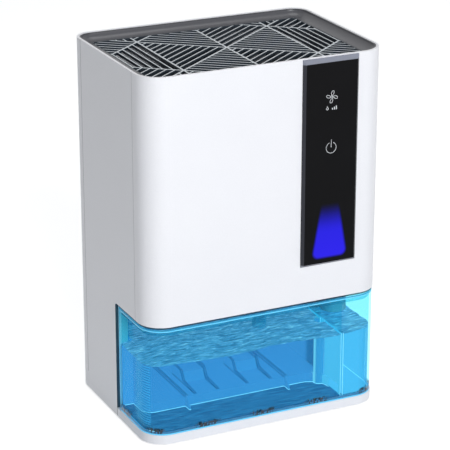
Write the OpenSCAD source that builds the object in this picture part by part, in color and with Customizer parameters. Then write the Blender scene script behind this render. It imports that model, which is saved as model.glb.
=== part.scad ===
// Countertop thermoelectric dehumidifier: a rounded box with a slide-out water tank, a fan under a
// patterned outlet grille, a cooling module over a drip tray, and a raised touch panel.
// Millimetres, +Z up, front towards -Y. The origin is on the floor under the middle of the object's box.

/* [Body] */
// Width of the body
body_w = 232; // [226:1:250]
// Depth of the body without the control panel
body_d = 165; // [160:1:178]
// Height from the floor to the top rim
body_h = 340; // [336:1:370]
// Radius of the two front corners
front_corner_r = 22.5; // [20:0.5:23]
// Radius of the two back corners
back_corner_r = 17; // [16.5:0.5:18]
// Wall of the casings
wall = 2.4; // [2:0.1:2.6]
// Depth of the front shell, back to its parting line
front_shell_d = 28; // [27:0.5:32]
// Depth of the rear cover, forward to its parting line
rear_cover_d = 22; // [21:0.5:25]
// Gap that shows as a line between two casings
seam = 0.4; // [0.3:0.1:0.6]

/* [Base and feet] */
// Height of the rubber feet below the casings
foot_h = 2; // [1.5:0.1:3]
// Radius of a rubber foot
foot_r = 8; // [6:0.5:9]
// Height of the base's top above the floor
base_h = 10.5; // [10:0.5:14]

/* [Tank] */
// Depth of the tank bay from the front of the body
bay_d = 73.4; // [70:0.2:76]
// Height of the front shell's lower edge, where the tank bay ends
bay_top = 114; // [108:1:118]
// How far the tank stands back from the body's sides and front
tank_inset = 0.8; // [0.5:0.1:1.2]
// Gap over the tank's lid
tank_top_gap = 1.6; // [1.2:0.1:2.4]
// Gap behind the tank
tank_back_gap = 1.2; // [0.8:0.1:2]
// Wall of the tank
tank_wall = 2.2; // [1.8:0.1:2.6]
// Radius of the tank's back corners
tank_back_r = 6; // [5:0.5:8]
// Depth of the tank's low floor, in front of its step
tank_low_d = 41.5; // [36:0.5:44]
// Height of the step in the tank's floor
tank_step_h = 9; // [8:0.5:14]
// Reach of the tank's rear part behind the bay
tank_rear_d = 50; // [40:1:54]
// How much narrower the rear part is at its left side
tank_rear_inset = 12; // [8:1:20]
// Width of the float chamber at the tank's right end
float_bay_w = 34; // [32:0.5:38]
// Radius of the step's left front corner
step_corner_r = 11; // [6:1:16]
// Radius between the step's front and the float chamber's wall
step_fillet_r = 19; // [10:1:22]
// Thickness of the lid
lid_t = 2.2; // [1.8:0.1:2.6]
// Radius of the lid's drip inlet
inlet_r = 5.2; // [5:0.1:6]
// Length of the inlet's spout below the lid
spout_l = 40; // [20:1:44]
// Radius of the float
float_r = 12; // [10:0.5:13]
// Height of the float
float_h = 14; // [12:1:16]
// Rise of the float from its rest to the full mark
float_travel = 12; // [6:1:14]

/* [Top] */
// Depth of the outlet grille below the rim
recess_h = 6.5; // [5.5:0.5:8]
// Width of the hollow slope between rim and grille
cove_w = 9.5; // [8:0.5:10]
// Width of the trim's flat edge
trim_edge = 0.9; // [0.7:0.1:1.2]
// Thickness of the outlet grille
grille_t = 2.5; // [2:0.1:3.5]
// Distance between the upright lines of the grille's pattern
lattice_x = 64.7; // [60:0.1:70]
// Distance between two crossings on one upright line
lattice_y = 101; // [96:1:110]
// How far the pattern's centre lies behind the middle of the body
lattice_back = 2; // [0:0.5:4]
// Width of the pattern's main lines
main_line_w = 1.7; // [1.4:0.1:2.4]
// Width of a rib between two slots
rib_w = 1.2; // [1:0.1:1.6]
// Distance between two ribs
rib_pitch = 7.4; // [6:0.1:9]

/* [Control panel] */
// Width of the panel
panel_w = 54.4; // [48:0.2:58]
// Height of the panel
panel_h = 190.5; // [180:0.5:196]
// Distance of the panel from the body's right side
panel_side_gap = 29.8; // [28:0.2:36]
// Distance of the panel's top below the rim
panel_top_gap = 0.8; // [0.6:0.1:3]
// How far the panel stands out of the front
panel_proud = 3.5; // [2.5:0.1:4]
// Width of the panel's bevel along its sides and bottom
panel_bevel = 2.2; // [1.5:0.1:3]
// Width of the panel's bevel along its top
panel_top_bevel = 4; // [2:0.1:5]
// Height of the night light's lens
light_h = 50; // [40:1:60]
// Width of the night light's lens at its foot
light_w = 33; // [28:1:36]

/* [Air] */
// Side of the square fan
fan_side = 92; // [92:1:98]
// Thickness of the fan
fan_t = 25; // [22:1:26]
// Distance between two of the fan's screw holes
fan_hole_pitch = 82.5; // [82.5:0.1:83.5]
// Radius of the rotor over its blades
rotor_r = 43; // [40:0.5:43.5]
// Number of rotor blades
blade_count = 7; // [5:1:9]
// Number of slot rows in the rear intake
intake_rows = 18; // [10:1:19]
// Height of one intake slot
intake_slot_h = 3; // [2:0.5:3.5]

/* [Cooling module] */
// Side of the square thermoelectric plate
module_side = 40; // [36:1:42]
// Thickness of the thermoelectric plate
module_t = 3.8; // [3.4:0.1:4.4]
// Width of the hot heat sink
hot_w = 90; // [84:1:96]
// Height of the hot heat sink
hot_h = 120; // [110:1:124]
// Length of the hot heat sink's fins
hot_fin_l = 30; // [20:1:36]
// Width of the cold heat sink
cold_w = 70; // [66:1:76]
// Height of the cold heat sink
cold_h = 96; // [90:1:106]
// Length of the cold heat sink's fins
cold_fin_l = 20; // [12:1:26]
// Thickness of the baffle that carries the module
baffle_t = 3; // [2.4:0.1:3.2]

/* [Hidden] */
$fn = 64;

// Faces of the body
body_cy = panel_proud / 2;
body_front = body_cy - body_d / 2;
body_back = body_cy + body_d / 2;
side_x = body_w / 2;
inner_x = side_x - wall;
inner_front = body_front + wall;
inner_back = body_back - wall;
front_split = body_front + front_shell_d;
rear_split = body_back - rear_cover_d;

// Lips of the middle frame that the two shells slide over
lip_gap = 0.15;
lip_t = 1.4;
lip_l = min(5, front_shell_d - front_corner_r, rear_cover_d - back_corner_r);
lip_x = inner_x - lip_gap - lip_t;

// Small clearances
fit_gap = 0.3;
hole_gap = 0.3;
thread_gap = 0.05;

// Screws: shank and head of the self-tapping screws
screw_r = 1.45;
screw_head_r = 2.9;
screw_head_t = 2;
screw_l = 14;
boss_r = 4.5;
sink_r = screw_head_r + 0.5;

// Base
plate_t = 2.4;
base_floor = foot_h + plate_t;
foot_recess = 1;
foot_in_side = 22;
foot_in_front = 24;
foot_in_back = 20;
foot_x = side_x - foot_in_side;
foot_front_y = body_front + foot_in_front;
foot_back_y = body_back - foot_in_back;
base_cup_h = 4;
base_cup_top = foot_h + screw_head_t + base_cup_h;

// Tank bay and tank
bay_back = body_front + bay_d;
deck_t = 2.4;
deck_top = bay_top + deck_t;
tank_x = side_x - tank_inset;
tank_front = body_front + tank_inset;
tank_back = bay_back - tank_back_gap;
tank_front_r = front_corner_r - tank_inset;
lid_top = bay_top - tank_top_gap;
rim_z = lid_top - lid_t;
tank_floor = base_h + tank_wall;
tank_in_x = tank_x - tank_wall;
tank_in_front = tank_front + tank_wall;
tank_in_back = tank_back - tank_wall;
step_y = tank_in_front + tank_low_d;
step_gap = 1;
step_top = base_h + tank_step_h + tank_wall;
divider_x = tank_in_x - float_bay_w - tank_wall;
divider_drop = 6;
divider_top = rim_z - divider_drop;
divider_gate = [26, 10];
divider_post_r = 5;
rear_x = [-tank_in_x + tank_rear_inset, divider_x];
rear_in_back = tank_back + tank_rear_d - tank_wall;

// Recess behind the bay for the tank's rear part
recess_gap = 1;
recess_x = [rear_x[0] - tank_wall - recess_gap, rear_x[1] + tank_wall + recess_gap];
recess_back = rear_in_back + tank_wall + tank_back_gap;

// Screws of the base, each with the wall that its boss leans on: the side wall or the wall in front of it
base_boss_gap = 2.1;
base_boss_in = 12;
base_boss_y = recess_back + wall + boss_r + base_boss_gap;
middle_boss_x = recess_x[1] - 24;
side_boss_x = recess_x[1] + wall + 15;
base_screw_xy = [[-inner_x + base_boss_in, base_boss_y], [inner_x - base_boss_in, base_boss_y],
    [middle_boss_x, base_boss_y], [side_boss_x, bay_back + wall + base_boss_in]];
base_web = [[-inner_x, base_boss_y], [inner_x, base_boss_y],
    [middle_boss_x, recess_back + wall], [side_boss_x, bay_back + wall]];
lid_lip_h = 5;
lid_lip_t = 1.6;

// Drip path
outlet_x = 17;
outlet_in_front = 51;
outlet_y = body_front + outlet_in_front;
nozzle_r = 4.2;
nozzle_t = 1.6;
tray_t = 1.8;
tray_rim_h = 32;
tray_low_h = 8;
tray_rim_z = bay_top + tray_rim_h;
tray_low_z = bay_top + tray_low_h;
tray_rail_w = 5;
tray_rail_t = 3;
tray_notch_w = 4.6;
tray_front_gap = 1.5;
tray_back_gap = 4;
tray_x = inner_x - tray_rail_w - tray_notch_w;
tray_front = outlet_y - nozzle_r - nozzle_t - tray_t - tray_front_gap;
tray_back = rear_split - tray_back_gap;
tray_fall = 12;

// Float
float_x = tank_in_x - float_bay_w / 2;
float_back_gap = 3;
float_y = tank_in_back - float_r - float_back_gap;
float_rod_r = 2.2;
float_bore_r = 2.6;
float_stop_r = 5;
float_stop_t = 2;
float_top_gap = 1;
float_z = rim_z - lid_lip_h - float_top_gap - float_travel - float_h;
magnet_r = 9;
magnet_in_r = 5;
magnet_t = 3;

// Fan plate, fan and thermal stack
fan_plate_drop = 44;
fan_plate_z = body_h - fan_plate_drop;
fan_plate_t = 2.4;
fan_z = fan_plate_z + fan_plate_t;
fan_plate_gap = 0.4;
fan_plate_inset = wall + lip_gap + lip_t + fan_plate_gap;
rail_w = 8;
rail_t = 3;
fan_cy = body_cy;
rotor_gap = 1.5;
fan_bore_r = rotor_r + rotor_gap;
hub_r = 17;
motor_base_t = 3;
motor_r = 11;
shaft_r = 1.5;
bearing_r = 3;
bearing_gap = 0.04;
rotor_end_gap = 2;
rotor_low = fan_z + motor_base_t + rotor_end_gap;
rotor_high = fan_z + fan_t - rotor_end_gap;
plate_screw_in = 4.5;
plate_screw_x = inner_x - plate_screw_in;
plate_screw_y = 26;
trim_post_y = 40;
baffle_rib_w = 2;

baffle_back = 16;
baffle_top_gap = 5;
baffle_y = body_cy + baffle_back;
baffle_z0 = tray_rim_z;
baffle_z1 = fan_plate_z - rail_t - baffle_top_gap;
stack_rise = 5;
stack_z = (baffle_z0 + baffle_z1) / 2 + stack_rise;
hot_base_t = 6;
hot_fin_t = 1.5;
hot_fins = 16;
cold_base_t = 5;
cold_fin_t = 1.2;
cold_fins = 6;
cold_fin_pitch = 5.5;
cold_middle = 8;
module_back = baffle_y + module_t;
cold_back = module_back + cold_base_t;
hot_z = [stack_z - hot_h / 2, stack_z + hot_h / 2];
cold_z = [stack_z - cold_h / 2, stack_z + cold_h / 2];
sink_screw_in = 8;
sink_screws_z = [cold_z[0] + sink_screw_in, cold_z[1] - sink_screw_in];
gasket_w = 11;
gasket_out = module_side + 2 * gasket_w;
module_gap = 0.5;
lead_r = 0.8;
lead_slot_drop = 10;
lead_slot_z = stack_z - lead_slot_drop;

// Control panel and board
panel_x1 = side_x - panel_side_gap;
panel_x0 = panel_x1 - panel_w;
panel_cx = (panel_x0 + panel_x1) / 2;
panel_z1 = body_h - panel_top_gap;
panel_z0 = panel_z1 - panel_h;
panel_edge = 3.2;
panel_side_wall = 1.2;
panel_key_gap = 0.2;
board_gap = 6;
board_t = 1.6;
board_y = inner_front + board_gap;
board_back = board_y + board_t;
board_over = 4;
board_w = panel_w + 2 * board_over;
board_x = [panel_cx - board_w / 2, panel_cx + board_w / 2];
board_rise = 9;
board_drop = 21;
board_z0 = panel_z0 + board_rise;
board_z1 = panel_z1 - board_drop;
board_screw_inset = 3.5;
board_boss_r = 3;
board_screw_r = 1.2;
board_head_r = 2.4;
fan_key_drop = 36;
power_key_drop = 82;
light_rise = 6.5;
fan_key_z = panel_z1 - fan_key_drop;
power_key_z = panel_z1 - power_key_drop;
light_z0 = panel_z0 + light_rise;
light_top_w = 17;
lens_t = 4;

// Rear cover
rear_screw_in = 20;
rear_screw_rise = 24;
rear_screw_low = 55;
rear_screw_drop = 28;
rear_screw_x = side_x - rear_screw_in;
rear_screw_z = [foot_h + rear_screw_rise, (bay_top + body_h) / 2 - rear_screw_low, body_h - rear_screw_drop];
rear_boss_l = 14;
rear_seat = 6;
rear_seat_r = 5.5;
intake_slot_w = 38;
intake_columns = 3;
intake_bar_w = 5;
intake_pitch_x = intake_slot_w + intake_bar_w;
intake_pitch_z = 6.6;
intake_z = stack_z;
inlet_in_side = 38;
inlet_rise = 32;
inlet_x = side_x - inlet_in_side;
inlet_z = foot_h + inlet_rise;
inlet_barrel_r = 4;

// Power board
power_board_x = [-60, 40];
power_board_y = [recess_back + wall + 3, inner_back - 3];
power_board_rise = 6;
power_board_z = base_floor + power_board_rise;

// ---------------------------------------------------------------- drawing helpers

module box(x, y, z) translate([x[0], y[0], z[0]]) cube([x[1] - x[0], y[1] - y[0], z[1] - z[0]]);

// A flat shape drawn in X and Y, raised from z0 to z1
module along_z(z0, z1) translate([0, 0, z0]) linear_extrude(z1 - z0) children();

// A flat shape drawn in Y and Z, run from x0 to x1
module along_x(x0, x1) translate([x0, 0, 0]) rotate([90, 0, 90]) linear_extrude(x1 - x0) children();

// A flat shape drawn in X and Z, run from y0 to y1
module along_y(y0, y1) translate([0, y1, 0]) rotate([90, 0, 0]) linear_extrude(y1 - y0) children();

module rod_z(x, y, z0, z1, r) translate([x, y, z0]) cylinder(h = z1 - z0, r = r);
module rod_y(x, z, y0, y1, r) translate([x, y1, z]) rotate([90, 0, 0]) cylinder(h = y1 - y0, r = r);
module rod_x(y, z, x0, x1, r) translate([x0, y, z]) rotate([0, 90, 0]) cylinder(h = x1 - x0, r = r);

// A rectangle whose corners have one radius at its low-y end and another at its high-y end
module corner_rect(x, y, r0, r1) {
    mid = (y[0] + y[1]) / 2;
    translate([x[0] + r0, y[0]]) square([x[1] - x[0] - 2 * r0, mid - y[0]]);
    translate([x[0], y[0] + r0]) square([x[1] - x[0], mid - y[0] - r0]);
    translate([x[0] + r1, mid]) square([x[1] - x[0] - 2 * r1, y[1] - mid]);
    translate([x[0], mid]) square([x[1] - x[0], y[1] - mid - r1]);
    for (cx = [x[0] + r0, x[1] - r0]) translate([cx, y[0] + r0]) circle(r0);
    for (cx = [x[0] + r1, x[1] - r1]) translate([cx, y[1] - r1]) circle(r1);
}

// The body's outline, moved inwards
module body_outline(inset = 0)
    corner_rect([-side_x + inset, side_x - inset], [body_front + inset, body_back - inset],
        front_corner_r - inset, back_corner_r - inset);

// Outline of the tank's wide front part, moved inwards
module tank_front_part(inset = 0)
    corner_rect([-tank_x + inset, tank_x - inset], [tank_front + inset, tank_back - inset],
        tank_front_r - inset, tank_back_r - inset);

// Outline of its narrower rear part, moved inwards. Its front end lies inside the front part
module tank_rear_part(inset = 0)
    corner_rect([rear_x[0] - tank_wall + inset, rear_x[1] + tank_wall - inset],
        [tank_back - tank_wall - inset, rear_in_back + tank_wall - inset], 0.1, tank_back_r - inset);

module tank_outline(inset = 0) {
    tank_front_part(inset);
    tank_rear_part(inset);
}

// A self-tapping screw pointing down -Z, its head's underside at the origin
module screw(l = screw_l, r = screw_r, head_r = screw_head_r) {
    translate([0, 0, -l]) cylinder(h = l, r = r);
    cylinder(h = screw_head_t, r = head_r);
}

// ---------------------------------------------------------------- swept tubes

function unit(v) = v / norm(v);
function between(a, b, c, d, t) = 0.5 * (2 * b + (c - a) * t + (2 * a - 5 * b + 4 * c - d) * t * t
    + (3 * b - a - 3 * c + d) * t * t * t);
function smooth(p, n) = let (m = len(p) - 1) concat([for (i = [0:m - 1]) for (k = [0:n - 1])
    between(p[max(i - 1, 0)], p[i], p[i + 1], p[min(i + 2, m)], k / n)], [p[m]]);
function tangents(p) = [for (i = [0:len(p) - 1]) unit(p[min(i + 1, len(p) - 1)] - p[max(i - 1, 0)])];
function carried(t, n, i = 0) = i == len(t) ? []
    : let (m = unit(n - t[i] * (n * t[i]))) concat([m], carried(t, m, i + 1));

// A round tube along a list of points
module tube(path, r, sides = 8) {
    t = tangents(path);
    start = abs(t[0].z) < 0.9 ? [0, 0, 1] : [1, 0, 0];
    n = carried(t, start);
    last = len(path) - 1;
    points = [for (i = [0:last]) for (k = [0:sides - 1]) let (a = 360 * k / sides)
        path[i] + r * (n[i] * cos(a) + cross(t[i], n[i]) * sin(a))];
    sides_faces = [for (i = [0:last - 1]) for (k = [0:sides - 1]) let (j = (k + 1) % sides)
        [i * sides + k, (i + 1) * sides + k, (i + 1) * sides + j, i * sides + j]];
    ends = [[for (k = [0:sides - 1]) k], [for (k = [sides - 1:-1:0]) last * sides + k]];
    polyhedron(points, concat(sides_faces, ends));
}

// ---------------------------------------------------------------- casings

// Window in the front shell that the panel's key fills
module panel_key(gap = 0)
    translate([panel_x0 + panel_edge + gap, panel_z0 + panel_edge + gap])
        square([panel_w - 2 * (panel_edge + gap), panel_h - 2 * (panel_edge + gap)]);

shell_block_x = [-70, 10];
shell_pad_h = 2.6;
shell_pad_r = 6;
shell_block_h = 9;
shell_screw_in = 12;
shell_screw_y = inner_front + shell_screw_in;
board_screw_x = [board_x[0] + board_screw_inset, board_x[1] - board_screw_inset];
board_screw_z = [board_z0 + board_screw_inset, board_z1 - board_screw_inset];

// Front face and its two rounded corners
module front_shell() color("white") difference() {
    union() {
        along_z(bay_top, body_h) difference() {
            intersection() {
                body_outline();
                translate([-side_x, body_front]) square([body_w, front_shell_d - seam / 2]);
            }
            body_outline(wall);
        }
        for (x = board_screw_x, z = board_screw_z)
            rod_y(x, z, body_front + wall / 2, board_y, board_boss_r);
        for (x = shell_block_x)
            box([x - shell_pad_r, x + shell_pad_r], [body_front + wall / 2, shell_screw_y + 5],
                [deck_top + shell_pad_h, deck_top + shell_pad_h + shell_block_h]);
    }
    along_y(body_front - 1, inner_front + 1) panel_key();
    for (x = board_screw_x, z = board_screw_z)
        rod_y(x, z, inner_front + 0.6, board_y + 1, board_screw_r + thread_gap);
    for (x = shell_block_x)
        rod_z(x, shell_screw_y, deck_top, deck_top + shell_pad_h + 7.5, screw_r + thread_gap);
}

// Side walls with the sloping edge of the tank bay cut out, drawn in Y and Z
module side_profile() polygon([
    [front_split + seam / 2, bay_top], [bay_back, bay_top], [bay_back, foot_h],
    [rear_split - seam / 2, foot_h], [rear_split - seam / 2, body_h], [front_split + seam / 2, body_h]
]);

lip_drop = 17;
lip_top = body_h - lip_drop;
lip_root = 0.3;

// The tongues of one side wall that the front shell and the rear cover slide over
module side_lips() {
    front_lip_z = [bay_top, lip_top];
    rear_lip_z = [base_floor + 4, lip_top];
    box([lip_x, inner_x - lip_gap], [front_split - lip_l, front_split + lip_l], front_lip_z);
    box([lip_x, inner_x - lip_gap], [rear_split - lip_l, rear_split + lip_l], rear_lip_z);
    box([lip_x, inner_x + lip_root], [front_split + seam / 2, front_split + lip_l], front_lip_z);
    box([lip_x, inner_x + lip_root], [rear_split - lip_l, rear_split - seam / 2], rear_lip_z);
}

// Ribs, rails and bosses of one side wall
module side_fixings() {
    rail_y = [front_split + lip_l + 2, rear_split - lip_l - 2];
    box([inner_x - rail_w, inner_x + lip_root], rail_y, [fan_plate_z - rail_t, fan_plate_z]);
    box([inner_x - tray_rail_w, inner_x + lip_root], [tray_front, rail_y[1]],
        [tray_rim_z - tray_t - tray_rail_t, tray_rim_z - tray_t]);
    for (y = [baffle_y - fit_gap / 2 - baffle_rib_w, baffle_y + baffle_t + fit_gap / 2])
        box([inner_x - 4, inner_x + lip_root], [y, y + baffle_rib_w], [tray_rim_z + 2, baffle_z1]);
    for (s = [-1, 1])
        rod_z(plate_screw_x, body_cy + s * plate_screw_y, fan_plate_z - 9, fan_plate_z, 3);
    for (z = rear_screw_z) {
        rod_y(rear_screw_x, z, rear_split - rear_boss_l, rear_split, boss_r);
        box([rear_screw_x, inner_x + lip_root], [rear_split - rear_boss_l, rear_split - lip_l],
            [z - 1.5, z + 1.5]);
    }
}

// Bosses that the base is screwed to, each with a web to its wall
module base_bosses() for (i = [0:len(base_screw_xy) - 1]) {
    a = base_screw_xy[i];
    b = base_web[i];
    rod_z(a.x, a.y, base_cup_top, base_cup_top + 14, boss_r);
    box([min(a.x, b.x) - 1.2, max(a.x, b.x) + 1.2], [min(a.y, b.y) - 1.2, max(a.y, b.y) + 1.2],
        [base_cup_top + 2, base_cup_top + 14]);
}

// Screw holes of one side wall, and the notches round the heads of the trim's screws
module side_holes() {
    for (s = [-1, 1]) {
        rod_z(plate_screw_x, body_cy + s * plate_screw_y, fan_plate_z - 8, fan_plate_z + 1,
            screw_r + thread_gap);
        rod_z(trim_post_x, body_cy + s * trim_post_y, fan_plate_z - rail_t - 1, fan_plate_z + 1, sink_r);
    }
    for (z = rear_screw_z)
        rod_y(rear_screw_x, z, rear_split - rear_boss_l + 2, rear_split + 1, screw_r + thread_gap);
}

module both_sides() {
    children();
    mirror([1, 0, 0]) children();
}

sensor_drop = 14;
sensor_z = rim_z - sensor_drop;
sensor_peg_h = 2;

// Walls round the tank's rear part, with the bulkhead on both sides of its mouth, seen from above
module recess_walls() difference() {
    union() {
        translate([-inner_x - lip_root, bay_back]) square([2 * (inner_x + lip_root), wall]);
        translate([recess_x[0] - wall, bay_back])
            square([recess_x[1] - recess_x[0] + 2 * wall, recess_back + wall - bay_back]);
    }
    translate([recess_x[0], bay_back - 1]) square([recess_x[1] - recess_x[0], recess_back - bay_back + 1]);
}

// Side walls, deck over the tank and walls behind it
module mid_frame() color("gainsboro") difference() {
    union() {
        both_sides() {
            along_x(inner_x, side_x) side_profile();
            side_lips();
            side_fixings();
        }
        along_z(bay_top, deck_top) {
            intersection() {
                body_outline(wall + fit_gap);
                translate([-side_x, body_front]) square([body_w, bay_d + wall]);
            }
            translate([-inner_x - lip_root, front_split + seam / 2])
                square([2 * (inner_x + lip_root), bay_d + wall - front_shell_d - seam / 2]);
            translate([recess_x[0] - wall, bay_back])
                square([recess_x[1] - recess_x[0] + 2 * wall, recess_back + wall - bay_back]);
        }
        along_z(base_floor + fit_gap, deck_top) recess_walls();
        base_bosses();
        for (x = shell_block_x) rod_z(x, shell_screw_y, bay_top, deck_top + shell_pad_h, shell_pad_r);
        for (s = [-1, 1])
            rod_y(float_x + s * 9, sensor_z, bay_back + wall / 2, bay_back + wall + sensor_peg_h, 2.5);
    }
    both_sides() side_holes();
    for (p = base_screw_xy) rod_z(p.x, p.y, base_cup_top - 1, base_cup_top + 12, screw_r + thread_gap);
    rod_z(outlet_x, outlet_y, bay_top - 1, deck_top + 1, nozzle_r + nozzle_t + hole_gap);
    for (x = shell_block_x) {
        rod_z(x, shell_screw_y, bay_top - 1, deck_top + shell_pad_h + 1, screw_r + hole_gap);
        rod_z(x, shell_screw_y, bay_top - 1, bay_top + screw_head_t + 0.6, sink_r);
    }
}

module intake_slots() {
    low = intake_z - (intake_rows - 1) * intake_pitch_z / 2;
    for (row = [0:intake_rows - 1], column = [0:intake_columns - 1])
        translate([(column - (intake_columns - 1) / 2) * intake_pitch_x, low + row * intake_pitch_z]) {
            square([intake_slot_w - intake_slot_h, intake_slot_h], center = true);
            for (s = [-1, 1])
                translate([s * (intake_slot_w - intake_slot_h) / 2, 0]) circle(intake_slot_h / 2);
        }
}

// Back face and its two rounded corners
module rear_cover() color("white") difference() {
    union() {
        along_z(foot_h, body_h) difference() {
            intersection() {
                body_outline();
                translate([-side_x, rear_split + seam / 2]) square([body_w, rear_cover_d]);
            }
            body_outline(wall);
        }
        for (s = [-1, 1], z = rear_screw_z)
            rod_y(s * rear_screw_x, z, rear_split + seam / 2, body_back - wall / 2, rear_seat_r);
    }
    for (s = [-1, 1], z = rear_screw_z) {
        rod_y(s * rear_screw_x, z, rear_split - 1, body_back + 1, screw_r + hole_gap);
        rod_y(s * rear_screw_x, z, rear_split + rear_seat, body_back + 1, sink_r);
    }
    along_y(inner_back - 1, body_back + 1) intake_slots();
    rod_y(inlet_x, inlet_z, inner_back - 1, body_back + 1, inlet_barrel_r + hole_gap);
}

// Outline of the step in the tank's floor, moved inwards, and run back to y1. Its left front corner is
// rounded, and a hollow fillet joins its front to the float chamber's wall
module step_plan(inset, y1) {
    x0 = rear_x[0] + inset;
    x1 = rear_x[1] - inset;
    y0 = step_y + inset;
    r = step_corner_r;
    f = inset > 0 ? 0.1 : step_fillet_r;
    polygon(concat(
        [[x0, y1]],
        [for (a = [180:15:270]) [x0 + r + r * cos(a), y0 + r + r * sin(a)]],
        [for (a = [90:-15:0]) [x1 - f + f * cos(a), y0 - f + f * sin(a)]],
        [[x1, y1]]
    ));
}

base_step_top = base_h + tank_step_h - step_gap;

// Base: the tray under the tank, the step under its rear part and the floor of the rear compartment
module base_tray() color("white") difference() {
    union() {
        along_z(foot_h, base_h) intersection() {
            body_outline();
            translate([-side_x, body_front]) square([body_w, bay_d - seam]);
        }
        along_z(base_h - plate_t, base_step_top) step_plan(tank_wall + step_gap, recess_back - fit_gap);
        along_z(foot_h, base_floor) intersection() {
            body_outline(wall + fit_gap);
            translate([-side_x, bay_back - 6]) square([body_w, body_d]);
        }
        for (p = base_screw_xy) rod_z(p.x, p.y, foot_h, base_cup_top, 6);
        for (x = power_post_x, y = power_post_y) rod_z(x, y, foot_h + 1, power_board_z, 3);
    }
    difference() {
        along_z(foot_h - 1, base_h - plate_t) intersection() {
            body_outline(wall);
            translate([-side_x, body_front]) square([body_w, bay_d - wall]);
        }
        for (s = [-1, 1]) rod_z(s * foot_x, foot_front_y, 0, base_h, foot_r + 2);
        for (x = [-70, -35, 0, 35, 70]) box([x - 0.8, x + 0.8], [body_front, bay_back], [foot_h, base_h]);
    }
    along_z(base_floor - plate_t - 1, base_step_top - plate_t)
        step_plan(tank_wall + step_gap + plate_t, recess_back - fit_gap - plate_t);
    for (p = base_screw_xy) {
        rod_z(p.x, p.y, foot_h - 1, base_cup_top + 1, screw_r + hole_gap);
        rod_z(p.x, p.y, foot_h - 1, foot_h + screw_head_t + 0.6, sink_r);
    }
    for (s = [-1, 1], y = [foot_front_y, foot_back_y])
        rod_z(s * foot_x, y, foot_h - 1, foot_h + foot_recess, foot_r + 0.1);
    for (x = power_post_x, y = power_post_y)
        rod_z(x, y, power_board_z - 5, power_board_z + 1, board_screw_r + thread_gap);
}

module rubber_feet() color("dimgray")
    for (s = [-1, 1], y = [foot_front_y, foot_back_y])
        rod_z(s * foot_x, y, 0, foot_h + foot_recess, foot_r);

// ---------------------------------------------------------------- top

trim_in = wall + fit_gap;
trim_top = body_h - 0.4;
window_inset = trim_in + trim_edge + cove_w;
grille_top = body_h - recess_h;
ledge_z = grille_top - grille_t;
ledge_w = 2.3;
ledge_t = 2;
skirt_z = ledge_z - ledge_t - 2;
skirt_t = 2;
cove_steps = 12;
grille_gap = 0.2;
grille_edge_w = 1.2;

// Section of the trim: distance from the body's outline, and height
trim_section = concat(
    [[trim_in, skirt_z], [trim_in, trim_top]],
    [for (i = [0:cove_steps]) let (a = 90 * i / cove_steps)
        [window_inset - cove_w * cos(a), grille_top + (trim_top - grille_top) * (1 - sin(a))]],
    [[window_inset, ledge_z], [window_inset + ledge_w, ledge_z]],
    [[window_inset + ledge_w, ledge_z - ledge_t], [trim_in + skirt_t, ledge_z - ledge_t]],
    [[trim_in + skirt_t, skirt_z]]
);

module trim_corner(cx, cy, r, turn)
    translate([cx, cy, 0]) rotate([0, 0, turn]) rotate_extrude(angle = 90)
        polygon([for (p = trim_section) [r - p.x, p.y]]);

// Dark trim inside the rim, hollowed down to the grille
module top_trim() color("dimgray") difference() {
    union() {
        along_x(-side_x + front_corner_r, side_x - front_corner_r)
            polygon([for (p = trim_section) [body_front + p.x, p.y]]);
        along_x(-side_x + back_corner_r, side_x - back_corner_r)
            polygon([for (p = trim_section) [body_back - p.x, p.y]]);
        both_sides() {
            along_y(body_front + front_corner_r, body_back - back_corner_r)
                polygon([for (p = trim_section) [side_x - p.x, p.y]]);
            trim_corner(side_x - front_corner_r, body_front + front_corner_r, front_corner_r, -90);
            trim_corner(side_x - back_corner_r, body_back - back_corner_r, back_corner_r, 0);
        }
        for (p = trim_post_xy) rod_z(p.x, p.y, fan_z, ledge_z - ledge_t / 2, trim_post_r);
    }
    for (p = trim_post_xy) rod_z(p.x, p.y, fan_z - 1, fan_z + 12, screw_r + thread_gap);
}

trim_post_r = 3.6;
trim_post_x = side_x - window_inset + 4.5;
trim_post_xy = [for (sx = [-1, 1], sy = [-1, 1]) [sx * trim_post_x, body_cy + sy * trim_post_y]];
plate_screw_xy = [for (sx = [-1, 1], sy = [-1, 1]) [sx * plate_screw_x, body_cy + sy * plate_screw_y]];

// Corner k of a triangle of the pattern. Triangles point right (+1) or left (-1) from column i
function lattice_node(i, j) =
    [i * lattice_x, body_cy + lattice_back + (j + (i % 2 == 0 ? 0 : 0.5)) * lattice_y];
function right_triangle(i, j) = let (up = i % 2 == 0 ? 0 : 1)
    [lattice_node(i, j), lattice_node(i, j + 1), lattice_node(i + 1, j + up)];
function left_triangle(i, j) = let (up = i % 2 == 0 ? 0 : 1)
    [lattice_node(i, j), lattice_node(i, j + 1), lattice_node(i - 1, j + up)];

// A triangle pulled in by d from its three sides
function pulled_in(t, d) = let (
    a = norm(t[1] - t[2]),
    b = norm(t[0] - t[2]),
    c = norm(t[0] - t[1]),
    s = (a + b + c) / 2,
    r = sqrt((s - a) * (s - b) * (s - c) / s),
    centre = (a * t[0] + b * t[1] + c * t[2]) / (a + b + c)
) [for (p = t) centre + (p - centre) * (1 - d / r)];

// Slots of one triangle, parallel to its side from corner e to the next corner
module triangle_slots(corners, e) {
    t = pulled_in(corners, main_line_w / 2);
    a = t[e];
    b = t[(e + 1) % 3];
    c = t[(e + 2) % 3];
    height = abs((b.x - a.x) * (c.y - a.y) - (b.y - a.y) * (c.x - a.x)) / norm(b - a);
    count = max(2, round((height + rib_w) / rib_pitch));
    step = (height + rib_w) / count / height;
    for (k = [0:count - 1]) {
        low = k * step;
        high = min(low + step - rib_w / height, 1);
        polygon([a + (c - a) * low, b + (c - b) * low, b + (c - b) * high, a + (c - a) * high]);
    }
}

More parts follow.
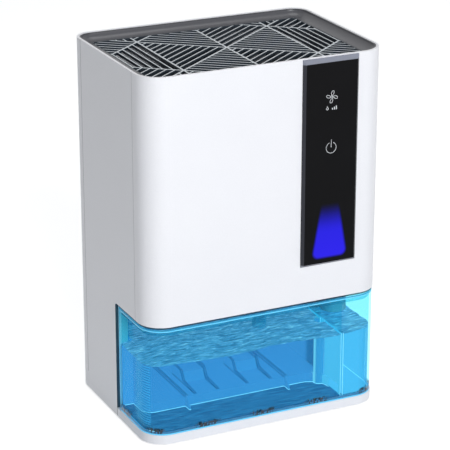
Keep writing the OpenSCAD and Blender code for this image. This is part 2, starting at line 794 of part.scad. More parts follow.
// Side of a triangle that its slots follow: 0 is upright, 1 and 2 are the two slopes.
// The triangles outside the two outer upright lines have upright slots. Of the others, those that point
// right follow the slope that goes back to the right, and those that point left the opposite one.
// At the back outer corners the two slopes change places.
module pattern_slots() {
    for (i = [-2:1], j = [-2:0]) {
        if (i == 1) triangle_slots(right_triangle(i, j), 0);
        else if (i == -2 && j == 0) triangle_slots(right_triangle(i, j), 1);
        else triangle_slots(right_triangle(i, j), 2);
    }
    for (i = [-1:2], j = [-2:0]) {
        if (i == -1) triangle_slots(left_triangle(i, j), 0);
        else if (i == 2 && j == 0) triangle_slots(left_triangle(i, j), 1);
        else triangle_slots(left_triangle(i, j), 2);
    }
}

module outlet_grille() color("lightsteelblue")
    along_z(ledge_z, grille_top) difference() {
        body_outline(window_inset + grille_gap);
        intersection() {
            body_outline(window_inset + grille_gap + grille_edge_w);
            pattern_slots();
        }
    }

// ---------------------------------------------------------------- control panel

module panel_slab(inset, top_inset, y0, y1)
    box([panel_x0 + inset, panel_x1 - inset], [y0, y1], [panel_z0 + inset, panel_z1 - top_inset]);

// Black touch panel: bevelled plate and the key that fills the shell's window
module control_panel() color([0.06, 0.06, 0.07]) {
    skin = 0.01;
    hull() {
        panel_slab(0, 0, body_front - panel_side_wall, body_front);
        panel_slab(panel_bevel, panel_top_bevel, body_front - panel_proud, body_front - panel_proud + skin);
    }
    along_y(body_front - skin, inner_front) panel_key(panel_key_gap);
}

module light_lens() color("royalblue") along_y(inner_front, inner_front + lens_t) polygon([
    [panel_cx - light_w / 2, light_z0], [panel_cx + light_w / 2, light_z0],
    [panel_cx + light_top_w / 2, light_z0 + light_h], [panel_cx - light_top_w / 2, light_z0 + light_h]
]);

led_side = 3;
led_h = 1.4;

// Circuit board behind the panel, with its night light diodes, key lamps and plug
module control_board() color("seagreen") {
    difference() {
        box(board_x, [board_y, board_back], [board_z0, board_z1]);
        for (x = board_screw_x, z = board_screw_z)
            rod_y(x, z, board_y - 1, board_back + 1, board_screw_r + hole_gap);
    }
    for (i = [-1:1], z = [light_z0 + 12, light_z0 + 24])
        box([panel_cx + i * 8 - led_side / 2, panel_cx + i * 8 + led_side / 2], [board_y - led_h, board_y],
            [z, z + led_side]);
    box([panel_cx - 8, panel_cx + 8], [board_back, board_back + 4], [power_key_z - 6, power_key_z + 6]);
    box([panel_cx + 10, panel_cx + 20], [board_back, board_back + 5], [board_z0 + 14, board_z0 + 20]);
}

spring_r = 5;
spring_wire_r = 0.4;
spring_turns = 4;

// Sprung contacts between the board and the back of the two touch keys
module touch_springs() color("silver")
    for (z = [fan_key_z, power_key_z]) {
        rise = board_gap - 2 * spring_wire_r;
        tube([for (k = [0:12 * spring_turns]) [panel_cx + spring_r * cos(30 * k),
            inner_front + spring_wire_r + rise * k / (12 * spring_turns), z + spring_r * sin(30 * k)]],
            spring_wire_r, 6);
    }

// ---------------------------------------------------------------- tank

rib_h = 2.3;
rib_d = 1.4;
rib_foot = 9;
long_ribs = [-60, 41];
short_ribs = [[-49.5, -26.5], [3.5, 27.5]];
short_rib_y = [step_y + 3, step_y + 52];
catch_y = step_y + 28;
catch_h = 11;

// A fin over the step and down its front, drawn in Y and Z
module long_rib() polygon([
    [rear_in_back + 0.5, step_top - 1], [rear_in_back + 0.5, step_top + rib_h],
    [step_y - 2, step_top + rib_h], [step_y - rib_foot + 2, step_top - 3],
    [step_y - rib_foot, tank_floor - 1], [step_y + 1, tank_floor - 1], [step_y + 1, step_top - 1]
]);

// A fin that rises to the catch, drawn in Y and Z
module short_rib() polygon([
    [short_rib_y[0], step_top - 1], [short_rib_y[0], step_top + 0.6], [catch_y, step_top + rib_h],
    [catch_y + 6, step_top + catch_h], [short_rib_y[1], step_top + catch_h], [short_rib_y[1], step_top - 1]
]);

// Catch between two fins, where the tank rides over its stop, drawn in Y and Z
module catch_block() polygon([
    [catch_y, step_top - 1], [catch_y + 5, step_top + catch_h - 2],
    [short_rib_y[1], step_top + catch_h - 2], [short_rib_y[1], step_top - 1]
]);

// Clear water tank: a wide front part, a raised floor with fins behind it, and a float chamber at its right
module tank() color([0.25, 0.62, 0.9, 0.6]) difference() {
    union() {
        difference() {
            union() {
                along_z(base_h, rim_z) tank_front_part();
                along_z(base_h + tank_step_h, rim_z) tank_rear_part();
            }
            difference() {
                along_z(tank_floor, rim_z + 1) tank_outline(tank_wall);
                along_z(base_h, step_top) step_plan(0, rear_in_back + 1);
            }
        }
        for (x = long_ribs) along_x(x - rib_d / 2, x + rib_d / 2) long_rib();
        for (pair = short_ribs) {
            for (x = pair) along_x(x - rib_d / 2, x + rib_d / 2) short_rib();
            along_x(pair[0], pair[1]) catch_block();
        }
        difference() {
            union() {
                box([divider_x, divider_x + tank_wall], [tank_in_front - 0.5, tank_back],
                    [base_h + 1, divider_top]);
                rod_z(divider_x - divider_post_r + 2, step_y - divider_post_r, base_h + 1, divider_top,
                    divider_post_r);
            }
            box([divider_x - 1, divider_x + tank_wall + 1],
                [tank_in_front + 4, tank_in_front + 4 + divider_gate[0]],
                [tank_floor, tank_floor + divider_gate[1]]);
        }
    }
    along_z(base_h - 1, base_h + tank_step_h) step_plan(tank_wall, tank_back + 1);
}

// Lid with the drip inlet's spout and the float's guide rod
module tank_lid() color([0.4, 0.75, 0.95, 0.6]) difference() {
    union() {
        along_z(rim_z, lid_top) tank_outline();
        along_z(rim_z - lid_lip_h, rim_z + 0.5) difference() {
            tank_outline(tank_wall + fit_gap);
            tank_outline(tank_wall + fit_gap + lid_lip_t);
        }
        rod_z(outlet_x, outlet_y, rim_z - spout_l, rim_z + 0.5, inlet_r + 1.5);
        rod_z(float_x, float_y, float_z - float_stop_t, rim_z + 0.5, float_rod_r);
        rod_z(float_x, float_y, float_z - float_stop_t, float_z, float_stop_r);
        rod_z(float_x, float_y, float_z + float_h + float_travel, rim_z + 0.5, float_stop_r);
    }
    rod_z(outlet_x, outlet_y, rim_z - spout_l - 1, lid_top + 1, inlet_r);
}

module tank_float() color("white") difference() {
    rod_z(float_x, float_y, float_z, float_z + float_h, float_r);
    rod_z(float_x, float_y, float_z - 1, float_z + float_h + 1, float_bore_r);
    difference() {
        rod_z(float_x, float_y, float_z + float_h - magnet_t, float_z + float_h + 1, magnet_r + 0.1);
        rod_z(float_x, float_y, float_z, float_z + float_h + 2, magnet_in_r - 0.1);
    }
}

module float_magnet() color("slategray") difference() {
    rod_z(float_x, float_y, float_z + float_h - magnet_t, float_z + float_h - 0.2, magnet_r);
    rod_z(float_x, float_y, float_z, float_z + float_h + 1, magnet_in_r);
}

// ---------------------------------------------------------------- fan

fan_screw_xy = [for (sx = [-1, 1], sy = [-1, 1])
    [sx * fan_hole_pitch / 2, fan_cy + sy * fan_hole_pitch / 2]];
fan_hole_r = 2.15;
fan_screw_r = 1.9;
hub_wall = 1.6;

module fan_frame() color([0.1, 0.1, 0.11]) difference() {
    union() {
        difference() {
            along_z(fan_z, fan_z + fan_t) corner_rect([-fan_side / 2, fan_side / 2],
                [fan_cy - fan_side / 2, fan_cy + fan_side / 2], 4, 4);
            rod_z(0, fan_cy, fan_z - 1, fan_z + fan_t + 1, fan_bore_r);
        }
        rod_z(0, fan_cy, fan_z, fan_z + motor_base_t, hub_r);
        rod_z(0, fan_cy, fan_z, rotor_high - hub_wall - 2, motor_r);
        for (a = [45:90:315]) translate([0, fan_cy, 0]) rotate([0, 0, a])
            box([hub_r - 2, fan_bore_r + 1.5], [-1.5, 1.5], [fan_z, fan_z + motor_base_t]);
    }
    rod_z(0, fan_cy, fan_z + 1, rotor_high, bearing_r);
    for (p = fan_screw_xy) rod_z(p.x, p.y, fan_z - 1, fan_z + fan_t + 1, fan_hole_r);
}

blade_angle = 36;
blade_t = 1.5;
blade_chord = 26;

module fan_rotor() color([0.16, 0.16, 0.18]) translate([0, fan_cy, 0]) {
    difference() {
        rod_z(0, 0, rotor_low, rotor_high, hub_r);
        rod_z(0, 0, rotor_low - 1, rotor_high - hub_wall, hub_r - hub_wall);
    }
    intersection() {
        difference() {
            rod_z(0, 0, rotor_low, rotor_high - 0.5, rotor_r);
            rod_z(0, 0, rotor_low - 1, rotor_high + 1, hub_r - hub_wall / 2);
        }
        for (k = [0:blade_count - 1]) rotate([0, 0, 360 * k / blade_count])
            translate([(hub_r + rotor_r) / 2, 0, (rotor_low + rotor_high) / 2])
                rotate([blade_angle, 0, 0]) cube([rotor_r, blade_chord, blade_t], center = true);
    }
}

module fan_shaft() color("silver") rod_z(0, fan_cy, fan_z + 1.3, rotor_high - hub_wall, shaft_r);

module fan_bearing() color("goldenrod") difference() {
    rod_z(0, fan_cy, fan_z + 1, rotor_high - hub_wall - 3, bearing_r);
    rod_z(0, fan_cy, fan_z, rotor_high, shaft_r + bearing_gap);
}

lead_hole = [-62, rear_split - 2];

// Plate that carries the fan and closes the chamber round it
module fan_plate() color("dimgray") difference() {
    union() {
        along_z(fan_plate_z, fan_z) body_outline(fan_plate_inset);
        for (p = fan_screw_xy) rod_z(p.x, p.y, fan_plate_z - 7, fan_z, 4);
    }
    rod_z(0, fan_cy, fan_plate_z - 1, fan_z + 1, fan_bore_r);
    box([board_x[0] - 3, board_x[1] + 3], [body_front, board_back + 5], [fan_plate_z - 1, fan_z + 1]);
    rod_z(lead_hole.x, lead_hole.y, fan_plate_z - 1, fan_z + 1, 4);
    for (p = fan_screw_xy) rod_z(p.x, p.y, fan_plate_z - 6, fan_z + 1, fan_screw_r + thread_gap);
    for (p = concat(plate_screw_xy, trim_post_xy))
        rod_z(p.x, p.y, fan_plate_z - 1, fan_z + 1, screw_r + hole_gap);
}

// ---------------------------------------------------------------- cooling module

module hot_sink() color("silver") difference() {
    union() {
        box([-hot_w / 2, hot_w / 2], [baffle_y - hot_base_t, baffle_y], hot_z);
        for (i = [0:hot_fins - 1]) {
            x = -hot_w / 2 + i * (hot_w - hot_fin_t) / (hot_fins - 1);
            box([x, x + hot_fin_t], [baffle_y - hot_base_t - hot_fin_l, baffle_y - hot_base_t], hot_z);
        }
    }
    for (z = sink_screws_z) rod_y(0, z, baffle_y - hot_base_t + 1, baffle_y + 1, screw_r + thread_gap);
}

module cold_sink() color("silver") difference() {
    union() {
        box([-cold_w / 2, cold_w / 2], [module_back, cold_back], cold_z);
        both_sides() for (i = [0:cold_fins - 1]) {
            x = cold_middle / 2 + i * cold_fin_pitch;
            box([x, x + cold_fin_t], [cold_back, cold_back + cold_fin_l], cold_z);
        }
    }
    for (z = sink_screws_z) rod_y(0, z, module_back - 1, cold_back + 1, screw_r + hole_gap);
}

// A square of side a about the stack's axis, from y0 to y1
module stack_square(a, y0, y1) box([-a / 2, a / 2], [y0, y1], [stack_z - a / 2, stack_z + a / 2]);

module thermoelectric_module() color("ivory") stack_square(module_side, baffle_y, module_back);

// The channel that the module's two wires leave through
module lead_slot(x1) box([-x1, -module_side / 2], [baffle_y - 1, module_back + 1],
    [lead_slot_z - 1.6, lead_slot_z + 4.2]);

module module_gasket() color([0.2, 0.2, 0.2]) difference() {
    stack_square(gasket_out, baffle_y, module_back);
    stack_square(module_side + 2 * module_gap, baffle_y - 1, module_back + 1);
    lead_slot(gasket_out);
}

air_window = [44, 28];
air_window_x = 78;

module thermal_baffle() color("whitesmoke") difference() {
    box([-inner_x + fit_gap, inner_x - fit_gap], [baffle_y, baffle_y + baffle_t], [baffle_z0, baffle_z1]);
    stack_square(gasket_out + 2 * fit_gap, baffle_y - 1, baffle_y + baffle_t + 1);
    lead_slot(hot_w / 2 + 6);
    for (z = sink_screws_z) rod_y(0, z, baffle_y - 1, baffle_y + baffle_t + 1, screw_r + hole_gap);
    for (x = [-air_window_x, air_window_x])
        box([x - air_window[0] / 2, x + air_window[0] / 2], [baffle_y - 1, baffle_y + baffle_t + 1],
            [baffle_z0 + 8, baffle_z0 + 8 + air_window[1]]);
}

// Tray under the cold sink, falling to the nozzle over the tank's inlet
module drip_tray() color("whitesmoke") difference() {
    union() {
        along_x(-tray_x, tray_x) polygon([
            [tray_front, tray_rim_z], [tray_front, tray_low_z], [tray_back, tray_low_z + tray_fall],
            [tray_back, tray_rim_z]
        ]);
        box([-inner_x + fit_gap, inner_x - fit_gap], [tray_front, tray_back],
            [tray_rim_z - tray_t, tray_rim_z]);
        rod_z(outlet_x, outlet_y, bay_top, tray_low_z + 3, nozzle_r + nozzle_t);
    }
    along_x(-tray_x + tray_t, tray_x - tray_t) polygon([
        [tray_front + tray_t, tray_rim_z + 1], [tray_front + tray_t, tray_low_z + tray_t],
        [tray_back - tray_t, tray_low_z + tray_t + tray_fall], [tray_back - tray_t, tray_rim_z + 1]
    ]);
    rod_z(outlet_x, outlet_y, bay_top - 1, tray_low_z + 12, nozzle_r);
    both_sides() box([inner_x - tray_notch_w, inner_x], [rear_split - lip_l - fit_gap, tray_back + 1],
        [tray_rim_z - tray_t - 1, tray_rim_z + 1]);
}

// ---------------------------------------------------------------- electrics

power_post_x = [power_board_x[0] + 5, power_board_x[1] - 5];
power_post_y = [power_board_y[0] + 5, power_board_y[1] - 5];
board_top = power_board_z + board_t;

module power_board() color("darkgreen") {
    difference() {
        box(power_board_x, power_board_y, [power_board_z, board_top]);
        for (x = power_post_x, y = power_post_y)
            rod_z(x, y, power_board_z - 1, board_top + 1, board_screw_r + hole_gap);
    }
    for (x = [20, 33]) rod_z(power_board_x[0] + x, power_board_y[1] - 10, board_top, board_top + 18, 5);
    rod_z(power_board_x[0] + 60, power_board_y[0] + 10, board_top, board_top + 9, 8);
    box([power_board_x[0] + 14, power_board_x[0] + 34], [power_board_y[0] + 2, power_board_y[0] + 14],
        [board_top, board_top + 14]);
    for (i = [0:4]) box([plug_x(i), plug_x(i) + 6], [plug_y, plug_y + 5], [board_top, board_top + 6]);
}

plug_y = power_board_y[1] - 7;
rear_room_y = (recess_back + wall + plug_y) / 2;
function plug_x(i) = power_board_x[0] + 46 + i * 9;
function plug_top(i) = [plug_x(i) + 3, plug_y + 2.5, board_top + 6];

// Coaxial power inlet: block inside the cover, barrel in its hole, pin in the barrel
module power_inlet() color([0.12, 0.12, 0.13]) difference() {
    union() {
        rod_y(inlet_x, inlet_z, inner_back - 4, body_back, inlet_barrel_r);
        box([inlet_x - 5.5, inlet_x + 5.5], [inner_back - 14, inner_back], [inlet_z - 6, inlet_z + 6]);
    }
    difference() {
        rod_y(inlet_x, inlet_z, body_back - 10, body_back + 1, 3.1);
        rod_y(inlet_x, inlet_z, body_back - 11, body_back - 1, 1.05);
    }
}

// Reed switch board on the bulkhead, level with the float's magnet
module tank_sensor() color("darkgreen") {
    y0 = bay_back + wall + sensor_peg_h;
    box([float_x - 13, float_x + 13], [y0, y0 + board_t], [sensor_z - 6, sensor_z + 6]);
    rod_x(y0 + board_t + 1.2, sensor_z, float_x - 8, float_x + 8, 1.3);
}

// ---------------------------------------------------------------- screws

module rear_screws() color("silver")
    for (s = [-1, 1], z = rear_screw_z)
        translate([s * rear_screw_x, rear_split + rear_seat, z]) rotate([-90, 0, 0]) screw();

module base_screws() color("silver")
    for (p = base_screw_xy) translate([p.x, p.y, foot_h + screw_head_t + 0.6]) rotate([180, 0, 0]) screw();

module shell_screws() color("silver")
    for (x = shell_block_x)
        translate([x, shell_screw_y, bay_top + screw_head_t + 0.6]) rotate([180, 0, 0]) screw(9);

module plate_screws() color("silver")
    for (p = plate_screw_xy) translate([p.x, p.y, fan_z]) screw(9);

module trim_screws() color("silver")
    for (p = trim_post_xy) translate([p.x, p.y, fan_plate_z]) rotate([180, 0, 0]) screw(12);

module fan_screws() color("silver")
    for (p = fan_screw_xy) translate([p.x, p.y, fan_z + fan_t]) screw(fan_t + 6, fan_screw_r);

module sink_screws() color("silver")
    for (z = sink_screws_z)
        translate([0, cold_back, z]) rotate([-90, 0, 0]) screw(cold_base_t + module_t + hot_base_t - 2);

module board_screws() color("silver") {
    for (x = board_screw_x, z = board_screw_z)
        translate([x, board_back, z]) rotate([-90, 0, 0]) screw(6, board_screw_r, board_head_r);
    for (x = power_post_x, y = power_post_y)
        translate([x, y, board_top]) screw(5, board_screw_r, board_head_r);
}

// ---------------------------------------------------------------- leads

lead_back = rear_split + 7;

module lead(points) tube(smooth(points, 4), lead_r);

// From the fan's corner, through the plate and down the back of the tray to the board
module fan_lead() color("black") lead([
    [-30, fan_cy + fan_side / 2 + lead_r, fan_z + 6], [-40, fan_cy + fan_side / 2 + 2, fan_z + 6],
    [lead_hole.x, lead_hole.y, fan_z + 5], [lead_hole.x, lead_hole.y, fan_plate_z - 8],
    [-60, lead_back, 250], [-60, lead_back, 150], [-50, lead_back, 60], [-20, lead_back - 2, 34],
    plug_top(0) + [0, 0, 10], plug_top(0) + [0, 0, 5], plug_top(0)
]);

// The module's two wires, out through the slot in the baffle
module module_leads() color("firebrick")
    for (k = [0, 1]) {
        z = lead_slot_z + 2.6 * k;
        y = baffle_y + baffle_t / 2;
        lead([
            [-module_side / 2, y, z], [-module_side / 2 - 10, y, z], [-hot_w / 2 - 1, y, z],
            [-52, y + 8, z - 3],
            [-58 - 3 * k, y + 26, z - 20], [-66 - 3 * k, lead_back, 160], [-62 - 3 * k, lead_back, 60],
            [-20, lead_back + 1 + 3 * k, 30 + 3 * k],
            plug_top(1 + k) + [0, 0, 10], plug_top(1 + k) + [0, 0, 5], plug_top(1 + k)
        ]);
    }

// From the control board, over the deck and under the drip tray to the power board
module control_lead() color("black") lead([
    [panel_cx + 15, board_back + 2.5, board_z0 + 14], [panel_cx + 15, board_back + 3, board_z0 + 4],
    [panel_cx + 15, board_y + 12, deck_top + 20], [panel_cx + 14, board_y + 24, deck_top + 3],
    [panel_cx + 14, bay_back - 14, deck_top + 3], [panel_cx + 2, recess_back, deck_top + 3],
    [panel_cx - 10, recess_back + 8, deck_top - 10], [24, rear_room_y, 60], plug_top(3) + [0, 0, 14],
    plug_top(3) + [0, 0, 6], plug_top(3)
]);

module inlet_lead() color("black") lead([
    [inlet_x, inner_back - 14, inlet_z], [inlet_x, inner_back - 17, inlet_z],
    [inlet_x, inner_back - 20, inlet_z],
    [inlet_x - 24, plug_y, inlet_z + 2],
    plug_top(4) + [0, 0, 12], plug_top(4) + [0, 0, 6], plug_top(4)
]);

module sensor_lead() color("black") lead([
    [float_x - 10, bay_back + wall + sensor_peg_h + board_t + lead_r, sensor_z - 4],
    [float_x - 8, bay_back + wall + 14, sensor_z - 14], [float_x - 6, recess_back - 10, 50],
    [float_x - 14, recess_back + wall + 6, 24], [66, power_board_y[0] + 14, board_top + 6],
    [power_board_x[1] - 3, power_board_y[0] + 12, board_top + 2],
    [power_board_x[1] - 6, power_board_y[0] + 12, board_top + 0.9]
]);

// ---------------------------------------------------------------- nodes

front_shell();
mid_frame();
rear_cover();
base_tray();
rubber_feet();
top_trim();
outlet_grille();
control_panel();
light_lens();
control_board();
touch_springs();
tank();
tank_lid();
tank_float();
float_magnet();
fan_frame();
fan_rotor();
fan_shaft();
fan_bearing();
fan_plate();
hot_sink();
cold_sink();
thermoelectric_module();
module_gasket();
thermal_baffle();
drip_tray();
power_board();
power_inlet();
tank_sensor();
rear_screws();
base_screws();
shell_screws();
plate_screws();
fan_screws();
trim_screws();
sink_screws();
board_screws();
fan_lead();
module_leads();
control_lead();
inlet_lead();
sensor_lead();
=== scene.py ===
import math

import bmesh
import bpy
from mathutils import Euler, Matrix, Vector, noise


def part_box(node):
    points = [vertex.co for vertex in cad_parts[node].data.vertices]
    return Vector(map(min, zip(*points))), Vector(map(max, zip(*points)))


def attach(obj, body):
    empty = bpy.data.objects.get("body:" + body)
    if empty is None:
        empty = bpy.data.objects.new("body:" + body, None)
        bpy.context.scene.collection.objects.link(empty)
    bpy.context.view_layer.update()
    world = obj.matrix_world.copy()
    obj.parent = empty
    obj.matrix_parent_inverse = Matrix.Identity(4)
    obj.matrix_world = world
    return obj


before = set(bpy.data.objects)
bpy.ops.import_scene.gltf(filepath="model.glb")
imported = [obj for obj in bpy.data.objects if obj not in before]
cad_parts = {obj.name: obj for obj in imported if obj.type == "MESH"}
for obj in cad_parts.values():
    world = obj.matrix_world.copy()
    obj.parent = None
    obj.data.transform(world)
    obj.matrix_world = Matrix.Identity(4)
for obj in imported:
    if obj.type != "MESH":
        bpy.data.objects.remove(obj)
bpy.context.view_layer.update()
mm = 0.001

# ---------------------------------------------------------------- camera
# A long lens from the front left and a little above, level with the eye of somebody
# who stands in front of a worktop.
camera = bpy.data.objects.new("camera", bpy.data.cameras.new("camera"))
camera.data.lens = 162.9
camera.data.sensor_width = 36
camera.data.clip_end = 30
camera.location = (-0.7536, -1.5699, 0.8131)
look = Vector((-0.00265, 0.00175, 0.1668)) - camera.location
camera.rotation_euler = look.to_track_quat("-Z", "Y").to_euler()
bpy.context.scene.collection.objects.link(camera)
bpy.context.scene.camera = camera
bpy.context.scene.view_settings.view_transform = "Standard"

# ---------------------------------------------------------------- floor
# A plain pale studio floor, painted matt white. It shows white to the eye and to what is
# mirrored in the object, and keeps the object's shadow.


def linear(hex_colour):
    """A colour written as sRGB hex, turned to the linear values that Blender works in."""
    parts = [int(hex_colour[i:i + 2], 16) / 255 for i in (1, 3, 5)]
    return [c / 12.92 if c <= 0.04045 else ((c + 0.055) / 1.055) ** 2.4 for c in parts] + [1]


def feed(node, **inputs):
    """Sets a node's sockets, by name or as s0, s1, ..., to values or to what other nodes give."""
    for name, value in inputs.items():
        socket = node.inputs[int(name[1:])] if name[1:].isdigit() else node.inputs[name.replace("_", " ")]
        if isinstance(value, bpy.types.Node):
            value = value.outputs[0]
        if isinstance(value, bpy.types.NodeSocket):
            node.id_data.links.new(value, socket)
        else:
            socket.default_value = value


def add(tree, kind, settings=None, **inputs):
    """Adds a node with its settings and what feeds its sockets."""
    new = tree.nodes.new("ShaderNode" + kind)
    for name, value in (settings or {}).items():
        setattr(new, name, value)
    feed(new, **inputs)
    return new


def start_material(name, **shader_values):
    """A material named for its finish. Gives it, its tree, its shader and the place on the piece."""
    material = bpy.data.materials.new(name)
    material.use_nodes = True
    tree = material.node_tree
    feed(tree.nodes["Principled BSDF"], **shader_values)
    return material, tree, tree.nodes["Principled BSDF"], add(tree, "TexCoord").outputs["Object"]


def seen_directly(tree):
    """Whether a ray looks at the surface, straight, in a mirror or through glass, and doesn't light it."""
    ray = add(tree, "LightPath").outputs
    seen = add(tree, "Math", {"operation": "MAXIMUM"}, s0=ray["Is Camera Ray"], s1=ray["Is Glossy Ray"])
    return add(tree, "Math", {"operation": "MAXIMUM"}, s0=seen, s1=ray["Is Transmission Ray"])


def new_piece(name, bm, body, slot, *materials):
    """Turns a bmesh into a piece that rides on a body and takes the given finishes. Its slot is not used."""
    mesh = bpy.data.meshes.new(name)
    bm.to_mesh(mesh)
    bm.free()
    for material in materials:
        mesh.materials.append(material)
    piece = bpy.data.objects.new(name, mesh)
    bpy.context.scene.collection.objects.link(piece)
    if body:
        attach(piece, body)
    return piece


# Matt paint has no gloss and only takes the shadow. What the eye sees of it is lifted to white.
floor_paint, tree, shader, _ = start_material("matt white floor paint", Base_Color=linear("#e2e3e5"),
                                              Roughness=0.9)
lift = add(tree, "Math", {"operation": "MULTIPLY"}, s0=seen_directly(tree), s1=0.66)
glow = add(tree, "Emission", Color=linear("#ffffff"), Strength=lift)
both = add(tree, "AddShader", s0=shader, s1=glow)
feed(tree.nodes["Material Output"], Surface=both)

floor_half = 8000 * mm
bm = bmesh.new()
bmesh.ops.create_grid(bm, x_segments=1, y_segments=1, size=floor_half)
floor = new_piece("floor", bm, None, None, floor_paint)

# ---------------------------------------------------------------- lamps
# A large soft box in front on the right, a weaker one overhead, a faint one on the left and a
# pale room. White plastic that faces the front box renders about as its colour is written.
world = bpy.data.worlds.new("pale room")
bpy.context.scene.world = world
world.use_nodes = True
tree = world.node_tree
tree.nodes.clear()
room = add(tree, "Background", Color=linear("#f4f7fb"), Strength=0.23)
white = add(tree, "Background", Color=linear("#ffffff"), Strength=1.0)
either = add(tree, "MixShader", s0=seen_directly(tree), s1=room, s2=white)
add(tree, "OutputWorld", Surface=either)

for name, place, size, power in [
    ("front box", (-0.2, -2.3, 1.15), 1.3, 43),
    ("top box", (0.25, 0.35, 2.2), 1.2, 10),
    ("left box", (-2.2, -0.4, 0.9), 1.0, 0.5),
]:
    lamp = bpy.data.objects.new(name, bpy.data.lights.new(name, "AREA"))
    lamp.data.shape = "SQUARE"
    lamp.data.size = size
    lamp.data.energy = power
    lamp.location = place
    lamp.rotation_euler = (Vector((0, 0, 0.15)) - lamp.location).to_track_quat("-Z", "Y").to_euler()
    bpy.context.scene.collection.objects.link(lamp)

# ---------------------------------------------------------------- casings
# Front shell, middle frame, rear cover and base: injection-moulded ABS, white, with the faint
# grain of a spark-eroded mould. The shells slide over the frame's tongues and are screwed to it.


def dress(material, *names):
    """Gives CAD nodes their finish."""
    for name in names:
        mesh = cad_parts[name].data
        mesh.materials.clear()
        mesh.materials.append(material)


def off_line(tree, across, middle):
    """How far the surface lies to either side of a line, measured across it."""
    off = add(tree, "Math", {"operation": "SUBTRACT"}, s0=across, s1=middle)
    return add(tree, "Math", {"operation": "ABSOLUTE"}, s0=off)


# Moulded ABS is satin, with soft clouds in its tone and a fine grain that dulls its shine. The
# grain is 0.4 mm on the real mould; it is drawn 1.3 mm wide, or the render wouldn't show it.
grain_width = 1.3 * mm
cloud_width = 111 * mm
white_abs, tree, shader, place = start_material("moulded white ABS", IOR=1.53, Coat_Weight=0.15,
                                                Coat_Roughness=0.2)
grain = add(tree, "TexNoise", Vector=place, Scale=1 / grain_width, Detail=2, Roughness=0.6)
cloud = add(tree, "TexNoise", Vector=place, Scale=1 / cloud_width, Detail=3)
tone = add(tree, "MixRGB", Fac=cloud, Color1=linear("#ebecf1"), Color2=linear("#f2f3f7"))
speck = add(tree, "MapRange", Value=grain, From_Min=0.3, From_Max=0.7, To_Min=0.975, To_Max=1.0)
tone = add(tree, "MixRGB", {"blend_type": "MULTIPLY"}, Fac=1.0, Color1=tone, Color2=speck)
# The seams between the casings are 0.3 mm wide. They are drawn 0.7 mm wide, on their edges, and
# end over the base.
x, y, z = add(tree, "SeparateXYZ", Vector=place).outputs
base_top = 18 * mm
seam = 0.0
for seam_y in (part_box("front_shell")[1].y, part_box("rear_cover")[0].y):
    off = off_line(tree, y, seam_y)
    dark = add(tree, "MapRange", Value=off, From_Min=0.2 * mm, From_Max=0.45 * mm, To_Min=0.75, To_Max=0)
    seam = add(tree, "Math", {"operation": "MAXIMUM"}, s0=dark, s1=seam)
above = add(tree, "MapRange", Value=z, From_Min=base_top, From_Max=base_top + 1 * mm)
seam = add(tree, "Math", {"operation": "MULTIPLY"}, s0=seam, s1=above)
tone = add(tree, "MixRGB", Fac=seam, Color1=tone, Color2=linear("#85868c"))
# Painted shade: a dark band along the frame's outer edges that the tank closes against, where the gap beside
# the tank lies in shade.
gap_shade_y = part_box("tank")[0].y + 72.35 * mm
gap_shade_top = 112.5 * mm
gap_shade_w = 3 * mm
gap_shade = add(tree, "MapRange", Value=off_line(tree, y, gap_shade_y), From_Min=0.4 * mm, From_Max=0.45 * mm,
           To_Min=1, To_Max=0)
below = add(tree, "Math", {"operation": "LESS_THAN"}, s0=z, s1=gap_shade_top)
gap_shade = add(tree, "Math", {"operation": "MULTIPLY"}, s0=gap_shade, s1=below)
out_x = add(tree, "Math", {"operation": "ABSOLUTE"}, s0=x)
outer = add(tree, "Math", {"operation": "GREATER_THAN"}, s0=out_x, s1=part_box("mid_frame")[1].x - gap_shade_w)
gap_shade = add(tree, "Math", {"operation": "MULTIPLY"}, s0=gap_shade, s1=outer)
tone = add(tree, "MixRGB", Fac=gap_shade, Color1=tone, Color2=linear("#34434d"))
satin = add(tree, "MapRange", Value=cloud, To_Min=0.3, To_Max=0.4)
bump = add(tree, "Bump", Height=grain, Strength=0.12, Distance=0.12 * mm)
feed(shader, Base_Color=tone, Roughness=satin, Normal=bump)
dress(white_abs, "front_shell", "mid_frame", "rear_cover", "base_tray")

# ---------------------------------------------------------------- feet
# Four feet of moulded black rubber, pushed into round recesses of the base, so that the whole
# neither slides on a worktop nor hums on it.


def grained(name, first, second, width, detail=2, bump=None, **shader_values):
    """A plain finish: two close tones mixed by a grain of this width, and a bump's strength and depth."""
    material, tree, shader, place = start_material(name, **shader_values)
    grain = add(tree, "TexNoise", Vector=place, Scale=1 / width, Detail=detail)
    tone = add(tree, "MixRGB", Fac=grain, Color1=linear(first), Color2=linear(second))
    feed(shader, Base_Color=tone)
    if "Emission_Strength" in shader_values:
        feed(shader, Emission_Color=tone)
    if bump:
        feed(shader, Normal=add(tree, "Bump", Height=grain, Strength=bump[0], Distance=bump[1]))
    return material


# Rubber is dull, nearly black and dusty, with small pits.
foot_rubber = grained("moulded rubber", "#232325", "#3a3a3c", width=1.43 * mm, detail=3,
                      bump=(0.3, 0.1 * mm), Roughness=0.75, IOR=1.5)
dress(foot_rubber, "rubber_feet")

# ---------------------------------------------------------------- trim
# The hollow slope between the rim and the grille, moulded in dark grey ABS with a satin mould
# face and screwed up from the fan plate. The satin face spreads the light along its hollow.
trim_abs = grained("moulded dark grey ABS", "#3e3f45", "#4b4c52", width=grain_width,
                   bump=(0.15, 0.1 * mm), Roughness=0.32, IOR=1.53)
dress(trim_abs, "top_trim")

